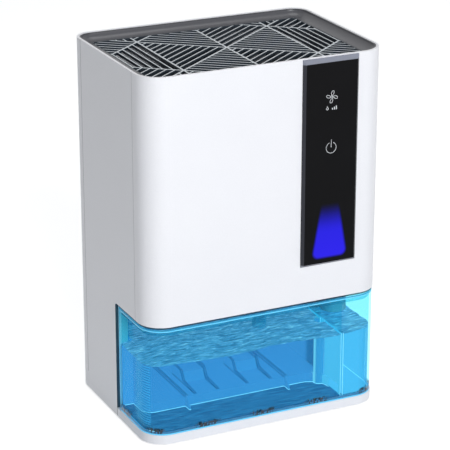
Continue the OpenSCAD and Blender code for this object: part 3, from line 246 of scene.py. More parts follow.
# ---------------------------------------------------------------- grille
# The outlet grille, one flat moulding of light grey ABS that drops onto the trim's ledge. Its
# top is pale with patches of dust, and its slots' walls and its rim lie dark in their shade.
dust_patch = 16.7 * mm
rim_w = 1.6 * mm
soft = 0.1 * mm
grille_abs, tree, shader, place = start_material("moulded light grey ABS", Roughness=0.4, IOR=1.53)
dust = add(tree, "TexNoise", Vector=place, Scale=1 / dust_patch, Detail=4)
tone = add(tree, "MixRGB", Fac=dust, Color1=linear("#c3cad0"), Color2=linear("#dfe5ea"))
x, y, z = add(tree, "SeparateXYZ", Vector=place).outputs
grille_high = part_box("outlet_grille")[1]
on_top = add(tree, "MapRange", Value=z, From_Min=grille_high.z - 0.14 * mm,
             From_Max=grille_high.z - 0.03 * mm)
out_x = add(tree, "Math", {"operation": "ABSOLUTE"}, s0=x)
open_part = on_top
for along, edge in ((out_x, grille_high.x), (y, grille_high.y)):
    inside = add(tree, "MapRange", Value=along, From_Min=edge - rim_w - soft, From_Max=edge - rim_w + soft,
                 To_Min=1, To_Max=0)
    open_part = add(tree, "Math", {"operation": "MULTIPLY"}, s0=open_part, s1=inside)
tone = add(tree, "MixRGB", Fac=open_part, Color1=linear("#2c353e"), Color2=tone)
feed(shader, Base_Color=tone)
dress(grille_abs, "outlet_grille")

# ---------------------------------------------------------------- touch panel
# Polished black acrylic with ground bevels, glued over the window of the front shell. The signs
# are printed in white, and the night light shines through a thinner place in its foot.
panel_low, panel_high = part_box("control_panel")
panel_x = (panel_low.x + panel_high.x) / 2
head_bevel, foot_bevel = 4 * mm, 2.15 * mm
smear_width = 38.5 * mm
# Acrylic is a deep, even black with a sharp gloss that old finger smears soften. Its ground
# bevels are greyer, and those at its head and foot catch the light.
panel_acrylic, tree, shader, place = start_material("polished black acrylic", IOR=1.49,
                                                    Specular_IOR_Level=0.06)
x, y, z = add(tree, "SeparateXYZ", Vector=place).outputs
smear = add(tree, "TexNoise", Vector=place, Scale=1 / smear_width, Detail=4)
face = add(tree, "MixRGB", Fac=smear, Color1=linear("#0b0b0d"), Color2=linear("#111113"))
at_head = add(tree, "MapRange", Value=z, From_Min=panel_high.z - head_bevel - 0.4 * mm,
              From_Max=panel_high.z - head_bevel + 0.4 * mm)
ground = add(tree, "MixRGB", Fac=at_head, Color1=linear("#3a3b41"), Color2=linear("#8b8f9c"))
at_foot = add(tree, "MapRange", Value=z, From_Min=panel_low.z + foot_bevel - 0.25 * mm,
              From_Max=panel_low.z + foot_bevel + 0.25 * mm, To_Min=1, To_Max=0)
ground = add(tree, "MixRGB", Fac=at_foot, Color1=ground, Color2=linear("#85868f"))
bevelled = add(tree, "MapRange", Value=y, From_Min=panel_low.y + 0.03 * mm, From_Max=panel_low.y + 0.12 * mm)
tone = add(tree, "MixRGB", Fac=bevelled, Color1=face, Color2=ground)
gloss = add(tree, "MapRange", Value=smear, From_Min=0.35, From_Max=0.65, To_Min=0.08, To_Max=0.16)
feed(shader, Base_Color=tone, Roughness=gloss)
dress(panel_acrylic, "control_panel")

# ---------------------------------------------------------------- printed signs
# A fan with four open blades over two small speed marks, and a power sign: thin white ink that
# is silk-screened on the panel.
# Screen ink lies matt and a little uneven, as the mesh of the screen leaves it.
ink = grained("white screen ink", "#c9cdd2", "#e8ebee", width=0.67 * mm, Roughness=0.5)
ink_y = panel_low.y - 0.01 * mm
line = 0.42 * mm


def lay_on_panel(bm, x, z):
    """Stands a flat drawing made in X and Y up against the panel's face, with its middle at x and z."""
    upright = Euler((math.pi / 2, 0, 0)).to_matrix().to_4x4()
    bmesh.ops.transform(bm, matrix=Matrix.Translation((x, ink_y, z)) @ upright, verts=bm.verts[:])


def outline_only(bm, width):
    """Leaves only a line of this width along the edge of the one face."""
    face = bm.faces[:][0]
    bmesh.ops.inset_region(bm, faces=[face], thickness=width, use_boundary=True, use_even_offset=True)
    bmesh.ops.delete(bm, geom=[face], context="FACES")


def bar(width, height, x, y):
    """An upright bar with its middle at x and y."""
    bm = bmesh.new()
    bmesh.ops.create_grid(bm, x_segments=1, y_segments=1, size=0.5)
    bmesh.ops.scale(bm, vec=(width, height, 1), verts=bm.verts[:])
    bmesh.ops.translate(bm, verts=bm.verts[:], vec=(x, y, 0))
    return bm


def drawn(*shapes):
    """Puts several drawings together in one."""
    whole = bmesh.new()
    for shape in shapes:
        mesh = bpy.data.meshes.new("drawing")
        shape.to_mesh(mesh)
        shape.free()
        whole.from_mesh(mesh)
        bpy.data.meshes.remove(mesh)
    return whole


# Each blade is a circle drawn out from the hub, narrow at its root, wide and leaning at its tip.
fan_z = panel_high.z - 35.2 * mm
blade_r = 1.9 * mm
blade_out = 3.2 * mm
blades = []
for turn in range(4):
    blade = bmesh.new()
    bmesh.ops.create_circle(blade, cap_ends=True, segments=20, radius=blade_r)
    for v in blade.verts:
        outward = v.co.y / blade_r
        v.co.x = v.co.x * (0.5 + 0.25 * (outward + 1)) * 0.95 + 0.35 * mm * outward
        v.co.y = v.co.y * 1.32 + blade_out
    quarter = Matrix.Rotation(turn * math.pi / 2 - 0.15, 3, "Z")
    bmesh.ops.rotate(blade, verts=blade.verts[:], cent=(0, 0, 0), matrix=quarter)
    outline_only(blade, line)
    blades.append(blade)
hub = bmesh.new()
bmesh.ops.create_circle(hub, cap_ends=True, segments=12, radius=0.6 * mm)
fan_sign = drawn(hub, *blades)
lay_on_panel(fan_sign, panel_x, fan_z)
new_piece("fan_sign", fan_sign, "body", "black_panel", ink)

drop_r = 1.2 * mm
drop = bmesh.new()
bmesh.ops.create_circle(drop, cap_ends=True, segments=12, radius=drop_r)
for v in drop.verts:
    if v.co.y > 0.9 * drop_r:
        v.co.y += drop_r
outline_only(drop, 0.45 * mm)
bmesh.ops.translate(drop, verts=drop.verts[:], vec=(-4.4 * mm, -0.3 * mm, 0))
bars = [bar(0.9 * mm, height * mm, (0.6 + 1.9 * i) * mm, (height / 2 - 1.6) * mm)
        for i, height in enumerate((1.6, 2.4, 3.2))]
speed_marks = drawn(drop, *bars)
lay_on_panel(speed_marks, panel_x, fan_z - 10 * mm)
new_piece("speed_marks", speed_marks, "body", "black_panel", ink)

power_z = panel_high.z - 81.4 * mm
ring = bmesh.new()
bmesh.ops.create_circle(ring, cap_ends=True, segments=48, radius=5.1 * mm)
outline_only(ring, line)
ring_gap = math.radians(24)
gap = [f for f in ring.faces if abs(math.atan2(*f.calc_center_median().xy)) < ring_gap]
bmesh.ops.delete(ring, geom=gap, context="FACES")
power_sign = drawn(ring, bar(line, 7.2 * mm, 0, 3.9 * mm))
lay_on_panel(power_sign, panel_x, power_z)
new_piece("power_sign", power_sign, "body", "black_panel", ink)

# ---------------------------------------------------------------- night light
# The thinner place in the panel's foot, a trapezium with round corners. Blue diodes behind it
# light it, brightest at the foot and fading upwards.
light_low = panel_low.z + 5.6 * mm
light_high = light_low + 54 * mm
light_foot_half, light_head_half, light_round = 19 * mm, 9.4 * mm, 8 * mm
# Lit acrylic keeps its gloss and glows from inside, with an edge as soft as it is thick.
soft_w = 3.2 * mm
night_light, tree, shader, place = start_material(
    "lit black acrylic", Base_Color=linear("#0e0e10"), Roughness=0.12, IOR=1.49, Specular_IOR_Level=0.06,
    Emission_Strength=0.95)
x, y, z = add(tree, "SeparateXYZ", Vector=place).outputs
rise = add(tree, "MapRange", Value=z, From_Min=light_low, From_Max=light_high)
half = add(tree, "MapRange", Value=rise, To_Min=light_foot_half - light_round,
           To_Max=light_head_half - light_round)
past_side = add(tree, "Math", {"operation": "SUBTRACT"}, s0=off_line(tree, x, panel_x), s1=half)
past_side = add(tree, "Math", {"operation": "MAXIMUM"}, s0=past_side, s1=0.0)
past_foot = add(tree, "Math", {"operation": "SUBTRACT"}, s0=light_low + light_round, s1=z)
past_foot = add(tree, "Math", {"operation": "MAXIMUM"}, s0=past_foot, s1=0.0)
past = add(tree, "CombineXYZ", X=past_side, Y=past_foot)
past = add(tree, "VectorMath", {"operation": "LENGTH"}, s0=past).outputs["Value"]
soft_edge = add(tree, "MapRange", {"interpolation_type": "SMOOTHSTEP"}, Value=past,
                From_Min=light_round - soft_w, From_Max=light_round, To_Min=1, To_Max=0)
fade = add(tree, "MapRange", {"interpolation_type": "SMOOTHSTEP"}, Value=rise, From_Min=0.98,
           From_Max=0.45, To_Min=0, To_Max=1)
power = add(tree, "Math", {"operation": "MULTIPLY"}, s0=soft_edge, s1=fade)
blue = add(tree, "MixRGB", Fac=rise, Color1=linear("#2a1cf4"), Color2=linear("#1d1ade"))
lit = add(tree, "MixRGB", Fac=power, Color1=linear("#000000"), Color2=blue)
feed(shader, Emission_Color=lit)
window = bmesh.new()
bmesh.ops.create_grid(window, x_segments=1, y_segments=1, size=0.5)
for v in window.verts:
    v.co.x *= 2 * (light_foot_half if v.co.y < 0 else light_head_half)
    v.co.y *= light_high - light_low
foot = [v for v in window.verts if v.co.y < 0]
bmesh.ops.bevel(window, geom=foot, affect="VERTICES", offset=5 * mm, segments=6, profile=0.5, material=-1)
lay_on_panel(window, panel_x, (light_low + light_high) / 2)
new_piece("night_light", window, "body", "lens_blue", night_light)

# ---------------------------------------------------------------- tank and lid
# Clear blue styrene, injection-moulded and polished, so that its walls let light through and
# its rims and round corners gather it. The lid drops into the rim, and the tank slides out.
tank_low, tank_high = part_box("tank")
wall_t = 2.2 * mm
corner_line_y = tank_low.y + 10 * mm
end_line_y = -12 * mm
# Polished styrene is clear and tints what stands behind it. Its tone glows a little, as painted light. Light
# that runs inside its walls comes out at the foot and the rim, which are painted pale cyan as highlights, as
# are the ends of its round corners.
clear_blue, tree, shader, place = start_material("polished clear blue styrene", Roughness=0.06, IOR=1.57,
                                                 Emission_Strength=0.3)
x, y, z = add(tree, "SeparateXYZ", Vector=place).outputs
foot = add(tree, "MapRange", {"interpolation_type": "SMOOTHSTEP"}, Value=z, From_Min=tank_low.z + 0.9 * mm,
           From_Max=tank_low.z + 1.9 * mm, To_Min=1, To_Max=0)
lip = add(tree, "MapRange", {"interpolation_type": "SMOOTHSTEP"}, Value=z, From_Min=tank_high.z - 1.3 * mm,
          From_Max=tank_high.z - 0.7 * mm)
gathered = add(tree, "Math", {"operation": "MAXIMUM"}, s0=foot, s1=lip)
# Two painted highlights, upright lines on its left face: a broken one where the front corner begins, and its
# end.
at_left = add(tree, "MapRange", Value=x, From_Min=tank_low.x + 1.6 * mm, From_Max=tank_low.x + 2 * mm,
              To_Min=1, To_Max=0)
dash_l = 2.38 * mm
dashes = add(tree, "TexNoise", {"noise_dimensions": "1D"}, W=z, Scale=1 / dash_l, Detail=2)
dashed = add(tree, "MapRange", Value=dashes, From_Min=0.46, From_Max=0.6)
corner_line = add(tree, "MapRange", {"interpolation_type": "SMOOTHSTEP"}, From_Min=0.2 * mm,
                  From_Max=1.3 * mm, Value=off_line(tree, y, corner_line_y), To_Min=0.8, To_Max=0)
corner_line = add(tree, "Math", {"operation": "MULTIPLY"}, s0=corner_line, s1=dashed)
end_line = add(tree, "MapRange", Value=off_line(tree, y, end_line_y), From_Min=0.7 * mm, From_Max=1.2 * mm,
               To_Min=0.8, To_Max=0)
for upright in (corner_line, end_line):
    upright = add(tree, "Math", {"operation": "MULTIPLY"}, s0=upright, s1=at_left)
    gathered = add(tree, "Math", {"operation": "MAXIMUM"}, s0=gathered, s1=upright)
# Above the foot the wall's lower bend is painted dark as shade, with short black strokes of painted shade in
# patches that follow each other 55 mm apart round the front.
stroke_w = 1.6667 * mm
patch_step = 55 * mm
first_patch = 131 * mm
bend = add(tree, "MapRange", {"interpolation_type": "SMOOTHSTEP"}, Value=z, From_Min=tank_low.z + 2.8 * mm,
           From_Max=tank_low.z + 4 * mm, To_Min=0.6, To_Max=0)
leaning = add(tree, "Mapping", Vector=place, Rotation=(0, math.radians(25), 0), Scale=(1, 1, 0.3))
strokes = add(tree, "TexNoise", Vector=leaning, Scale=1 / stroke_w, Detail=1)
stroke = add(tree, "MapRange", Value=strokes, From_Min=0.47, From_Max=0.5)
stroke_band = add(tree, "MapRange", Value=z, From_Min=tank_low.z + 5 * mm, From_Max=tank_low.z + 6 * mm,
                  To_Min=1, To_Max=0)
stroke = add(tree, "Math", {"operation": "MULTIPLY"}, s0=stroke, s1=stroke_band)
sweep = add(tree, "Math", {"operation": "SUBTRACT"}, s0=x, s1=y)
turns = add(tree, "Math", {"operation": "MULTIPLY_ADD"}, s0=sweep, s1=math.tau / patch_step,
            s2=-first_patch / patch_step * math.tau)
patches = add(tree, "Math", {"operation": "COSINE"}, s0=turns)
patch = add(tree, "MapRange", Value=patches, From_Min=0.0, From_Max=0.5)
stroke = add(tree, "Math", {"operation": "MULTIPLY"}, s0=stroke, s1=patch)
bend_tone = add(tree, "MixRGB", Fac=stroke, Color1=linear("#235c88"), Color2=linear("#0a1826"))
bend_share = add(tree, "Math", {"operation": "MAXIMUM"}, s0=stroke, s1=bend)
# Its upright ends, at the back of its left side and at its right corner, are painted dark as shade too.
left_end = add(tree, "MapRange", Value=y, From_Min=end_line_y + 1.2 * mm, From_Max=end_line_y + 1.6 * mm)
left_end = add(tree, "Math", {"operation": "MULTIPLY"}, s0=left_end, s1=at_left)
right_end = add(tree, "MapRange", Value=x, From_Min=tank_high.x - 5.2 * mm, From_Max=tank_high.x - 4.2 * mm)
by_front = add(tree, "MapRange", Value=y, From_Min=tank_low.y + 12 * mm, From_Max=tank_low.y + 13 * mm,
               To_Min=1, To_Max=0)
right_end = add(tree, "Math", {"operation": "MULTIPLY"}, s0=right_end, s1=by_front)
ends = add(tree, "Math", {"operation": "MAXIMUM"}, s0=left_end, s1=right_end)
ends_share = add(tree, "MapRange", Value=ends, To_Max=0.7)
shade = add(tree, "Math", {"operation": "MAXIMUM"}, s0=bend_share, s1=ends_share)
bright = add(tree, "Math", {"operation": "SUBTRACT"}, s0=1.0, s1=gathered)
shade = add(tree, "Math", {"operation": "MULTIPLY"}, s0=shade, s1=bright)
shade_tone = add(tree, "MixRGB", Fac=ends, Color1=bend_tone, Color2=linear("#1d5580"))
has_shade = add(tree, "Math", {"operation": "GREATER_THAN"}, s0=shade, s1=0.05)
tone = add(tree, "MixRGB", Fac=has_shade, Color1=linear("#62cdf5"), Color2=shade_tone)
feed(shader, Base_Color=tone, Emission_Color=tone)
# The wall is clear but for those parts, and closes up where it is seen edge on.
edge_on = add(tree, "LayerWeight", Blend=0.3).outputs["Facing"]
grazing = add(tree, "MapRange", {"interpolation_type": "SMOOTHSTEP"}, Value=edge_on, From_Min=0.72,
              From_Max=1.0, To_Min=0.03, To_Max=0.6)
share = add(tree, "MapRange", Value=gathered, To_Max=0.85)
for other in (grazing, shade):
    share = add(tree, "Math", {"operation": "MAXIMUM"}, s0=share, s1=other)
pass_on = add(tree, "BsdfTransparent", Color=linear("#dbfbfe"))
wall = add(tree, "MixShader", s0=share, s1=pass_on, s2=shader)
feed(tree.nodes["Material Output"], Surface=wall)
dress(clear_blue, "tank")
# The lid is of the same styrene, a little rough. Its top is painted dark blue grey in soft clouds, as the
# shade in the gap under the casing, while its rim, spout and rod stay nearly clear.
shade_cloud_width = 25 * mm
lid_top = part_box("tank_lid")[1].z
shaded_lid_styrene, tree, shader, place = start_material("blue styrene with painted shade on top", Roughness=0.3, IOR=1.57)
x, y, z = add(tree, "SeparateXYZ", Vector=place).outputs
shade_clouds = add(tree, "TexNoise", Vector=place, Scale=1 / shade_cloud_width, Detail=3)
top_shade = add(tree, "MixRGB", Fac=shade_clouds, Color1=linear("#1a2f3d"), Color2=linear("#274355"))
on_top = add(tree, "MapRange", Value=z, From_Min=lid_top - 0.3 * mm, From_Max=lid_top - 0.1 * mm)
tone = add(tree, "MixRGB", Fac=on_top, Color1=linear("#4a9ac8"), Color2=top_shade)
feed(shader, Base_Color=tone)
share = add(tree, "MapRange", Value=on_top, To_Min=0.15, To_Max=0.8)
pass_on = add(tree, "BsdfTransparent", Color=linear("#dbfbfe"))
wall = add(tree, "MixShader", s0=share, s1=pass_on, s2=shader)
feed(tree.nodes["Material Output"], Surface=wall)
dress(shaded_lid_styrene, "tank_lid")

# ---------------------------------------------------------------- water
# The water that the tank has gathered, up to just under the float. It fills the tank's inside
# round the fins and the divider, and its surface is stirred into small waves.
water_level = 75.5 * mm
water_gap = 0.12 * mm
divider_x = 77.5 * mm
floor_z = tank_low.z + wall_t
post_x, post_y = 73.8 * mm, -41.2 * mm
wall_in = 2.9 * mm
corner_in = 22 * mm
wave_step = 3.4 * mm
near = 0.05 * mm


def inside_of(source, level):
    """The hollow of a vessel below a level, as a surface whose outer side is turned to the vessel."""
    bm = bmesh.new()
    bm.from_mesh(source)
    bmesh.ops.remove_doubles(bm, verts=bm.verts[:], dist=0.01 * mm)
    bmesh.ops.bisect_plane(bm, geom=bm.verts[:] + bm.edges[:] + bm.faces[:], dist=0.001 * mm,
                           plane_co=(0, 0, level), plane_no=(0, 0, 1), clear_outer=True)
    outer = {min(bm.verts, key=lambda v: v.co.z)}
    edge_of = list(outer)
    while edge_of:
        v = edge_of.pop()
        for e in v.link_edges:
            other = e.other_vert(v)
            if other not in outer:
                outer.add(other)
                edge_of.append(other)
    bmesh.ops.delete(bm, geom=list(outer), context="VERTS")
    return bm


water = inside_of(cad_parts["tank"].data, water_level)
for v in water.verts:
    v.co += v.normal * water_gap
bmesh.ops.reverse_faces(water, faces=water.faces[:])
water.normal_update()
# Deep water is the first of the water's three finishes, so these are the second and third.
STIRRED, CLEAR = 1, 2
for f in water.faces:
    middle = f.calc_center_median()
    turned_left = f.normal.x < -0.05
    turned_front = f.normal.y < -0.05
    at_front = turned_front and middle.y < tank_low.y + corner_in
    at_left = turned_left and middle.x < tank_low.x + wall_in
    if abs(f.normal.z) < 0.5 and (at_front or at_left):
        f.material_index = CLEAR
rim = [e for e in water.edges if e.is_boundary]
bmesh.ops.triangle_fill(water, edges=rim, use_beauty=True, normal=(0, 0, 1))
for axis, low, high in ((0, tank_low.x, tank_high.x), (1, tank_low.y, tank_high.y)):
    at = low + wave_step / 2
    while at < high:
        top = [f for f in water.faces if f.calc_center_median().z > water_level - near]
        geom = {g for f in top for g in list(f.verts) + list(f.edges)} | set(top)
        along = Vector([1 if i == axis else 0 for i in range(3)])
        bmesh.ops.bisect_plane(water, geom=list(geom), dist=0.01 * mm, plane_co=along * at, plane_no=along)
        at += wave_step
for f in water.faces:
    if f.calc_center_median().z > water_level - near:
        f.material_index = STIRRED
        f.smooth = True
for v in water.verts:
    if v.co.z > water_level - 0.2 * mm:
        x, y = v.co.x / mm, v.co.y / mm
        swell = 1.1 * math.sin(x / 17 + 0.9 * math.sin(y / 21))
        waves = 0.9 * noise.noise(Vector((x / 14, y / 9, 2.0)))
        ripples = 0.5 * noise.noise(Vector((x / 5, y / 4, 7.0)))
        v.co.z += (swell + waves + ripples) * mm

# Deep water against the tank's blue wall: an even azure with soft clouds, which glows as painted light. The
# low floor is painted darker and streaked, as the shade and light of the waves above, and the chamber at the
# right is painted bright, as lit from its side.
cloud_width = 45.5 * mm
ripple_width = 3.03 * mm
deep_water, tree, shader, place = start_material("deep water", Base_Color=linear("#24527d"), Roughness=0.6,
                                                 IOR=1.33, Emission_Strength=0.72)
x, y, z = add(tree, "SeparateXYZ", Vector=place).outputs
cloud = add(tree, "TexNoise", Vector=place, Scale=1 / cloud_width, Detail=3)
basin = add(tree, "MixRGB", Fac=cloud, Color1=linear("#4d92cf"), Color2=linear("#5aa0da"))
drawn_out = add(tree, "Mapping", Vector=place, Scale=(0.2, 1, 1))
ripple = add(tree, "TexNoise", Vector=drawn_out, Scale=1 / ripple_width, Detail=4, Distortion=0.6)
streaks = add(tree, "ValToRGB", Fac=ripple)
for stop, (at, colour) in zip(streaks.color_ramp.elements, ((0.36, "#18405f"), (0.74, "#4a8bb4"))):
    stop.position = at
    stop.color = linear(colour)
on_floor = add(tree, "MapRange", Value=z, From_Min=floor_z + 0.3 * mm, From_Max=floor_z + 1.2 * mm,
               To_Min=1, To_Max=0)
off_floor = add(tree, "Math", {"operation": "SUBTRACT"}, s0=1.0, s1=on_floor)
tone = add(tree, "MixRGB", Fac=on_floor, Color1=basin, Color2=streaks)
# The dark band that the float's chamber throws behind its post.
beside = add(tree, "MapRange", Value=x, From_Min=post_x + 1.4 * mm, From_Max=post_x + 2.4 * mm)
behind = add(tree, "MapRange", Value=y, From_Min=post_y + 27 * mm, From_Max=post_y + 34 * mm,
             To_Min=0.85, To_Max=0)
shaded = add(tree, "Math", {"operation": "MULTIPLY"}, s0=behind, s1=beside)
tone = add(tree, "MixRGB", Fac=shaded, Color1=tone, Color2=linear("#2a648f"))
# Painted light: the bright water at the right, beside the post, above the floor, and in the float's chamber.
lit_x = post_x - 5.4 * mm
beside = add(tree, "MapRange", Value=x, From_Min=lit_x, From_Max=lit_x + 0.1 * mm)
before = add(tree, "MapRange", Value=y, From_Min=post_y + 4.4 * mm, From_Max=post_y + 5 * mm,
             To_Min=1, To_Max=0)
lit_side = add(tree, "Math", {"operation": "MULTIPLY"}, s0=before, s1=beside)
lit_side = add(tree, "Math", {"operation": "MULTIPLY"}, s0=lit_side, s1=off_floor)
in_chamber = add(tree, "MapRange", Value=x, From_Min=divider_x, From_Max=divider_x + 1 * mm)
bright = add(tree, "Math", {"operation": "MAXIMUM"}, s0=lit_side, s1=in_chamber)
tone = add(tree, "MixRGB", Fac=bright, Color1=tone, Color2=linear("#78d8ff"))
# The post itself, painted less bright, with a painted highlight as a pale line along its left edge.
on_post = add(tree, "MapRange", Value=y, From_Min=post_y - 5.5 * mm, From_Max=post_y - 5.2 * mm, To_Max=0.75)
out_of_chamber = add(tree, "Math", {"operation": "SUBTRACT"}, s0=bright, s1=in_chamber)
on_post = add(tree, "Math", {"operation": "MULTIPLY"}, s0=on_post, s1=out_of_chamber)
tone = add(tree, "MixRGB", Fac=on_post, Color1=tone, Color2=linear("#4196cf"))
on_line = add(tree, "MapRange", Value=x, From_Min=lit_x + 0.5 * mm, From_Max=lit_x + 1 * mm,
              To_Min=1, To_Max=0)
on_line = add(tree, "Math", {"operation": "MULTIPLY"}, s0=on_line, s1=lit_side)
tone = add(tree, "MixRGB", Fac=on_line, Color1=tone, Color2=linear("#a4ecff"))
# The pocket at the left, behind the step of the tank's wall.
pocket_x = -99 * mm
pocket = add(tree, "MapRange", Value=x, From_Min=pocket_x, From_Max=pocket_x - 2.5 * mm)
pocket = add(tree, "Math", {"operation": "MULTIPLY"}, s0=pocket, s1=off_floor)
tone = add(tree, "MixRGB", Fac=pocket, Color1=tone, Color2=linear("#5aa8e8"))
feed(shader, Emission_Color=tone)

# Stirred water mirrors the pale room in long fine streaks, over its own dark teal.
stirred, tree, shader, place = start_material("stirred water surface", Roughness=0.12, IOR=1.33,
                                              Emission_Strength=0.67)
along = add(tree, "Mapping", Vector=place, Scale=(0.25, 1, 1))
ripples = add(tree, "TexNoise", Vector=along, Scale=1 / ripple_width, Detail=6, Roughness=0.7, Distortion=0.7)
streaks = add(tree, "ValToRGB", Fac=ripples)
streaks.color_ramp.elements.new(0.54)
shown = ((0.34, "#2d6694"), (0.54, "#629fc9"), (0.74, "#c9f0fb"))
for stop, (at, colour) in zip(streaks.color_ramp.elements, shown):
    stop.position = at
    stop.color = linear(colour)
bump = add(tree, "Bump", Height=ripples, Strength=0.5, Distance=0.6 * mm)
feed(shader, Base_Color=streaks, Emission_Color=streaks, Normal=bump)

# Behind the tank's front the water is clear, but its round corners bend what is seen through
# them into fine level stripes.
stripe_gap = 2.4 * mm
clear_water, tree, shader, place = start_material("clear water", Roughness=0.08, IOR=1.33,
                                                  Emission_Strength=0.4)
x, y, z = add(tree, "SeparateXYZ", Vector=place).outputs
left = add(tree, "MapRange", Value=x, From_Min=tank_low.x + 8 * mm, From_Max=tank_low.x + 9 * mm,
           To_Min=1, To_Max=0)
left_start = add(tree, "MapRange", Value=y, From_Min=corner_line_y, From_Max=corner_line_y + 1 * mm)
left_stop = add(tree, "MapRange", Value=y, From_Min=corner_line_y + 21 * mm, From_Max=corner_line_y + 31 * mm,
                To_Min=1, To_Max=0)
for end in (left_start, left_stop):
    left = add(tree, "Math", {"operation": "MULTIPLY"}, s0=left, s1=end)
right = add(tree, "MapRange", Value=x, From_Min=tank_high.x - 20 * mm, From_Max=tank_high.x - 10 * mm)
round_corner = add(tree, "Math", {"operation": "MAXIMUM"}, s0=left, s1=right)
stripes = add(tree, "TexWave", {"bands_direction": "Z"}, Vector=place, Scale=math.pi / 10 / stripe_gap,
              Distortion=5, Detail=2, Detail_Scale=0.4).outputs["Fac"]
stripe = add(tree, "MapRange", Value=stripes, From_Min=0.3, From_Max=0.8)
tone = add(tree, "MixRGB", Fac=stripe, Color1=linear("#2d78b4"), Color2=linear("#5eb6e8"))
low_part = add(tree, "MapRange", {"interpolation_type": "SMOOTHSTEP"}, Value=z, From_Min=floor_z + 3 * mm,
               From_Max=floor_z + 8 * mm, To_Min=0.8, To_Max=0)
low_part = add(tree, "Math", {"operation": "MULTIPLY"}, s0=low_part, s1=left)
tone = add(tree, "MixRGB", Fac=low_part, Color1=tone, Color2=linear("#1f5580"))
feed(shader, Base_Color=tone, Emission_Color=tone)
share = add(tree, "MapRange", Value=round_corner, To_Min=0.03, To_Max=0.5)
share = add(tree, "Math", {"operation": "MAXIMUM"}, s0=share, s1=low_part)
pass_on = add(tree, "BsdfTransparent", Color=linear("#f6fdff"))
body = add(tree, "MixShader", s0=share, s1=pass_on, s2=shader)
feed(tree.nodes["Material Output"], Surface=body)
new_piece("water", water, "water_tank", "tank_clear", deep_water, stirred, clear_water)

# ---------------------------------------------------------------- tank's inner edges
# The square edges inside the tank, which gather light like its rims. Those of the divider and
# of the low floor show pale, and those of the fins and catches, side on, show dark.
fin_z = (21.4 * mm, 33 * mm)
fin_y = (-39 * mm, -34 * mm)
fin_x = 70 * mm
edges = inside_of(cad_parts["tank"].data, water_level)
bmesh.ops.dissolve_limit(edges, angle_limit=math.radians(1), verts=edges.verts[:], edges=edges.edges[:])
pale_lines, dark_lines = bmesh.new(), bmesh.new()
for e in edges.edges:
    if len(e.link_faces) < 2 or e.calc_face_angle() < math.radians(35):
        continue
    start, end = (v.co + v.normal * 0.15 * mm for v in e.verts)
    low = Vector(map(min, start, end))
    high = Vector(map(max, start, end))
    along = end - start
    on_fin = low.z > fin_z[0] and high.z < fin_z[1] and low.y > fin_y[0] and high.y > fin_y[1]
    on_fin = on_fin and abs(start.x) < fin_x
    on_low_floor = high.z < floor_z + 1 * mm and high.y > tank_low.y + 8 * mm and high.x > tank_low.x + 6 * mm
    on_divider = abs(along.z) > 30 * mm and high.x > divider_x - 1 * mm
    if on_fin and abs(along.x) < abs(along.y):
        bm, radius = dark_lines, 0.5 * mm
    elif not on_fin and (on_low_floor or on_divider):
        bm, radius = pale_lines, (0.2 if on_divider else 0.4) * mm
    else:
        continue
    made = bmesh.ops.create_cone(bm, cap_ends=True, segments=4, radius1=radius, radius2=radius,
                                 depth=along.length)
    turn = along.to_track_quat("Z", "Y").to_matrix().to_4x4()
    bmesh.ops.transform(bm, matrix=Matrix.Translation((start + end) / 2) @ turn, verts=made["verts"])
edges.free()
# The light and the shade in an edge are uneven along it, as its cut is.
pale_edge = grained("light in a square edge", "#a3dcf2", "#cff2fc", width=6.25 * mm, Roughness=0.4,
                    Emission_Strength=0.55)
dark_edge = grained("shade of a fin's edge", "#245a86", "#3070a2", width=6.25 * mm, Roughness=0.5,
                    Emission_Strength=0.3)
new_piece("tank_pale_edges", pale_lines, "water_tank", "tank_clear", pale_edge)
new_piece("tank_fin_edges", dark_lines, "water_tank", "tank_clear", dark_edge)

# ---------------------------------------------------------------- float
# A ring of closed blue-grey foam on the lid's rod, with a sintered ferrite ring pressed in.
# Closed foam is dull and dimpled by its cells, and sintered ferrite is a gritty dark grey.
cell_width = 1.11 * mm
float_foam, tree, shader, place = start_material("closed-cell foam", Roughness=0.7)
cells = add(tree, "TexVoronoi", Vector=place, Scale=1 / cell_width)
tone = add(tree, "MixRGB", Fac=cells, Color1=linear("#aac6d6"), Color2=linear("#90aebf"))
bump = add(tree, "Bump", Height=cells, Strength=0.3, Distance=0.2 * mm)
feed(shader, Base_Color=tone, Normal=bump)
dress(float_foam, "tank_float")
ferrite = grained("sintered ferrite", "#1e1e20", "#3a3a3d", width=0.67 * mm, detail=3, Roughness=0.45)
dress(ferrite, "float_magnet")

# ---------------------------------------------------------------- fan and plate
# A bought-in fan of black glass-filled PBT, on a dark ABS plate that closes the chamber under
# the grille. Both are matt; the fibres streak the fan's black, and the plate is bluish slate.
fan_pbt = grained("glass-filled PBT", "#161719", "#292b2e", width=2 * mm, detail=4, Roughness=0.5)
dress(fan_pbt, "fan_frame", "fan_rotor")
plate_abs = grained("moulded slate ABS", "#232a31", "#323a42", width=grain_width, Roughness=0.5)
dress(plate_abs, "fan_plate")

# ---------------------------------------------------------------- metal parts
# Shaft, springs and screws of zinc-plated steel, a sintered bronze bearing and heat sinks of
# extruded aluminium, whose draw lines run along the fins.
# Zinc plating is bright with a cloudy crystal. The screws' recesses are painted darker, as their shade.
zinc_steel = grained("zinc-plated steel", "#a8abb1", "#cdd0d4", width=2.5 * mm, detail=3, Metallic=1.0,
                     Roughness=0.32)
dress(zinc_steel, "fan_shaft", "touch_springs", "rear_screws", "base_screws", "shell_screws", "plate_screws",
      "fan_screws", "trim_screws", "sink_screws", "board_screws")
recess = grained("shaded zinc plating", "#26282c", "#43464c", width=2.5 * mm, detail=3, Metallic=0.6,
                 Roughness=0.5)
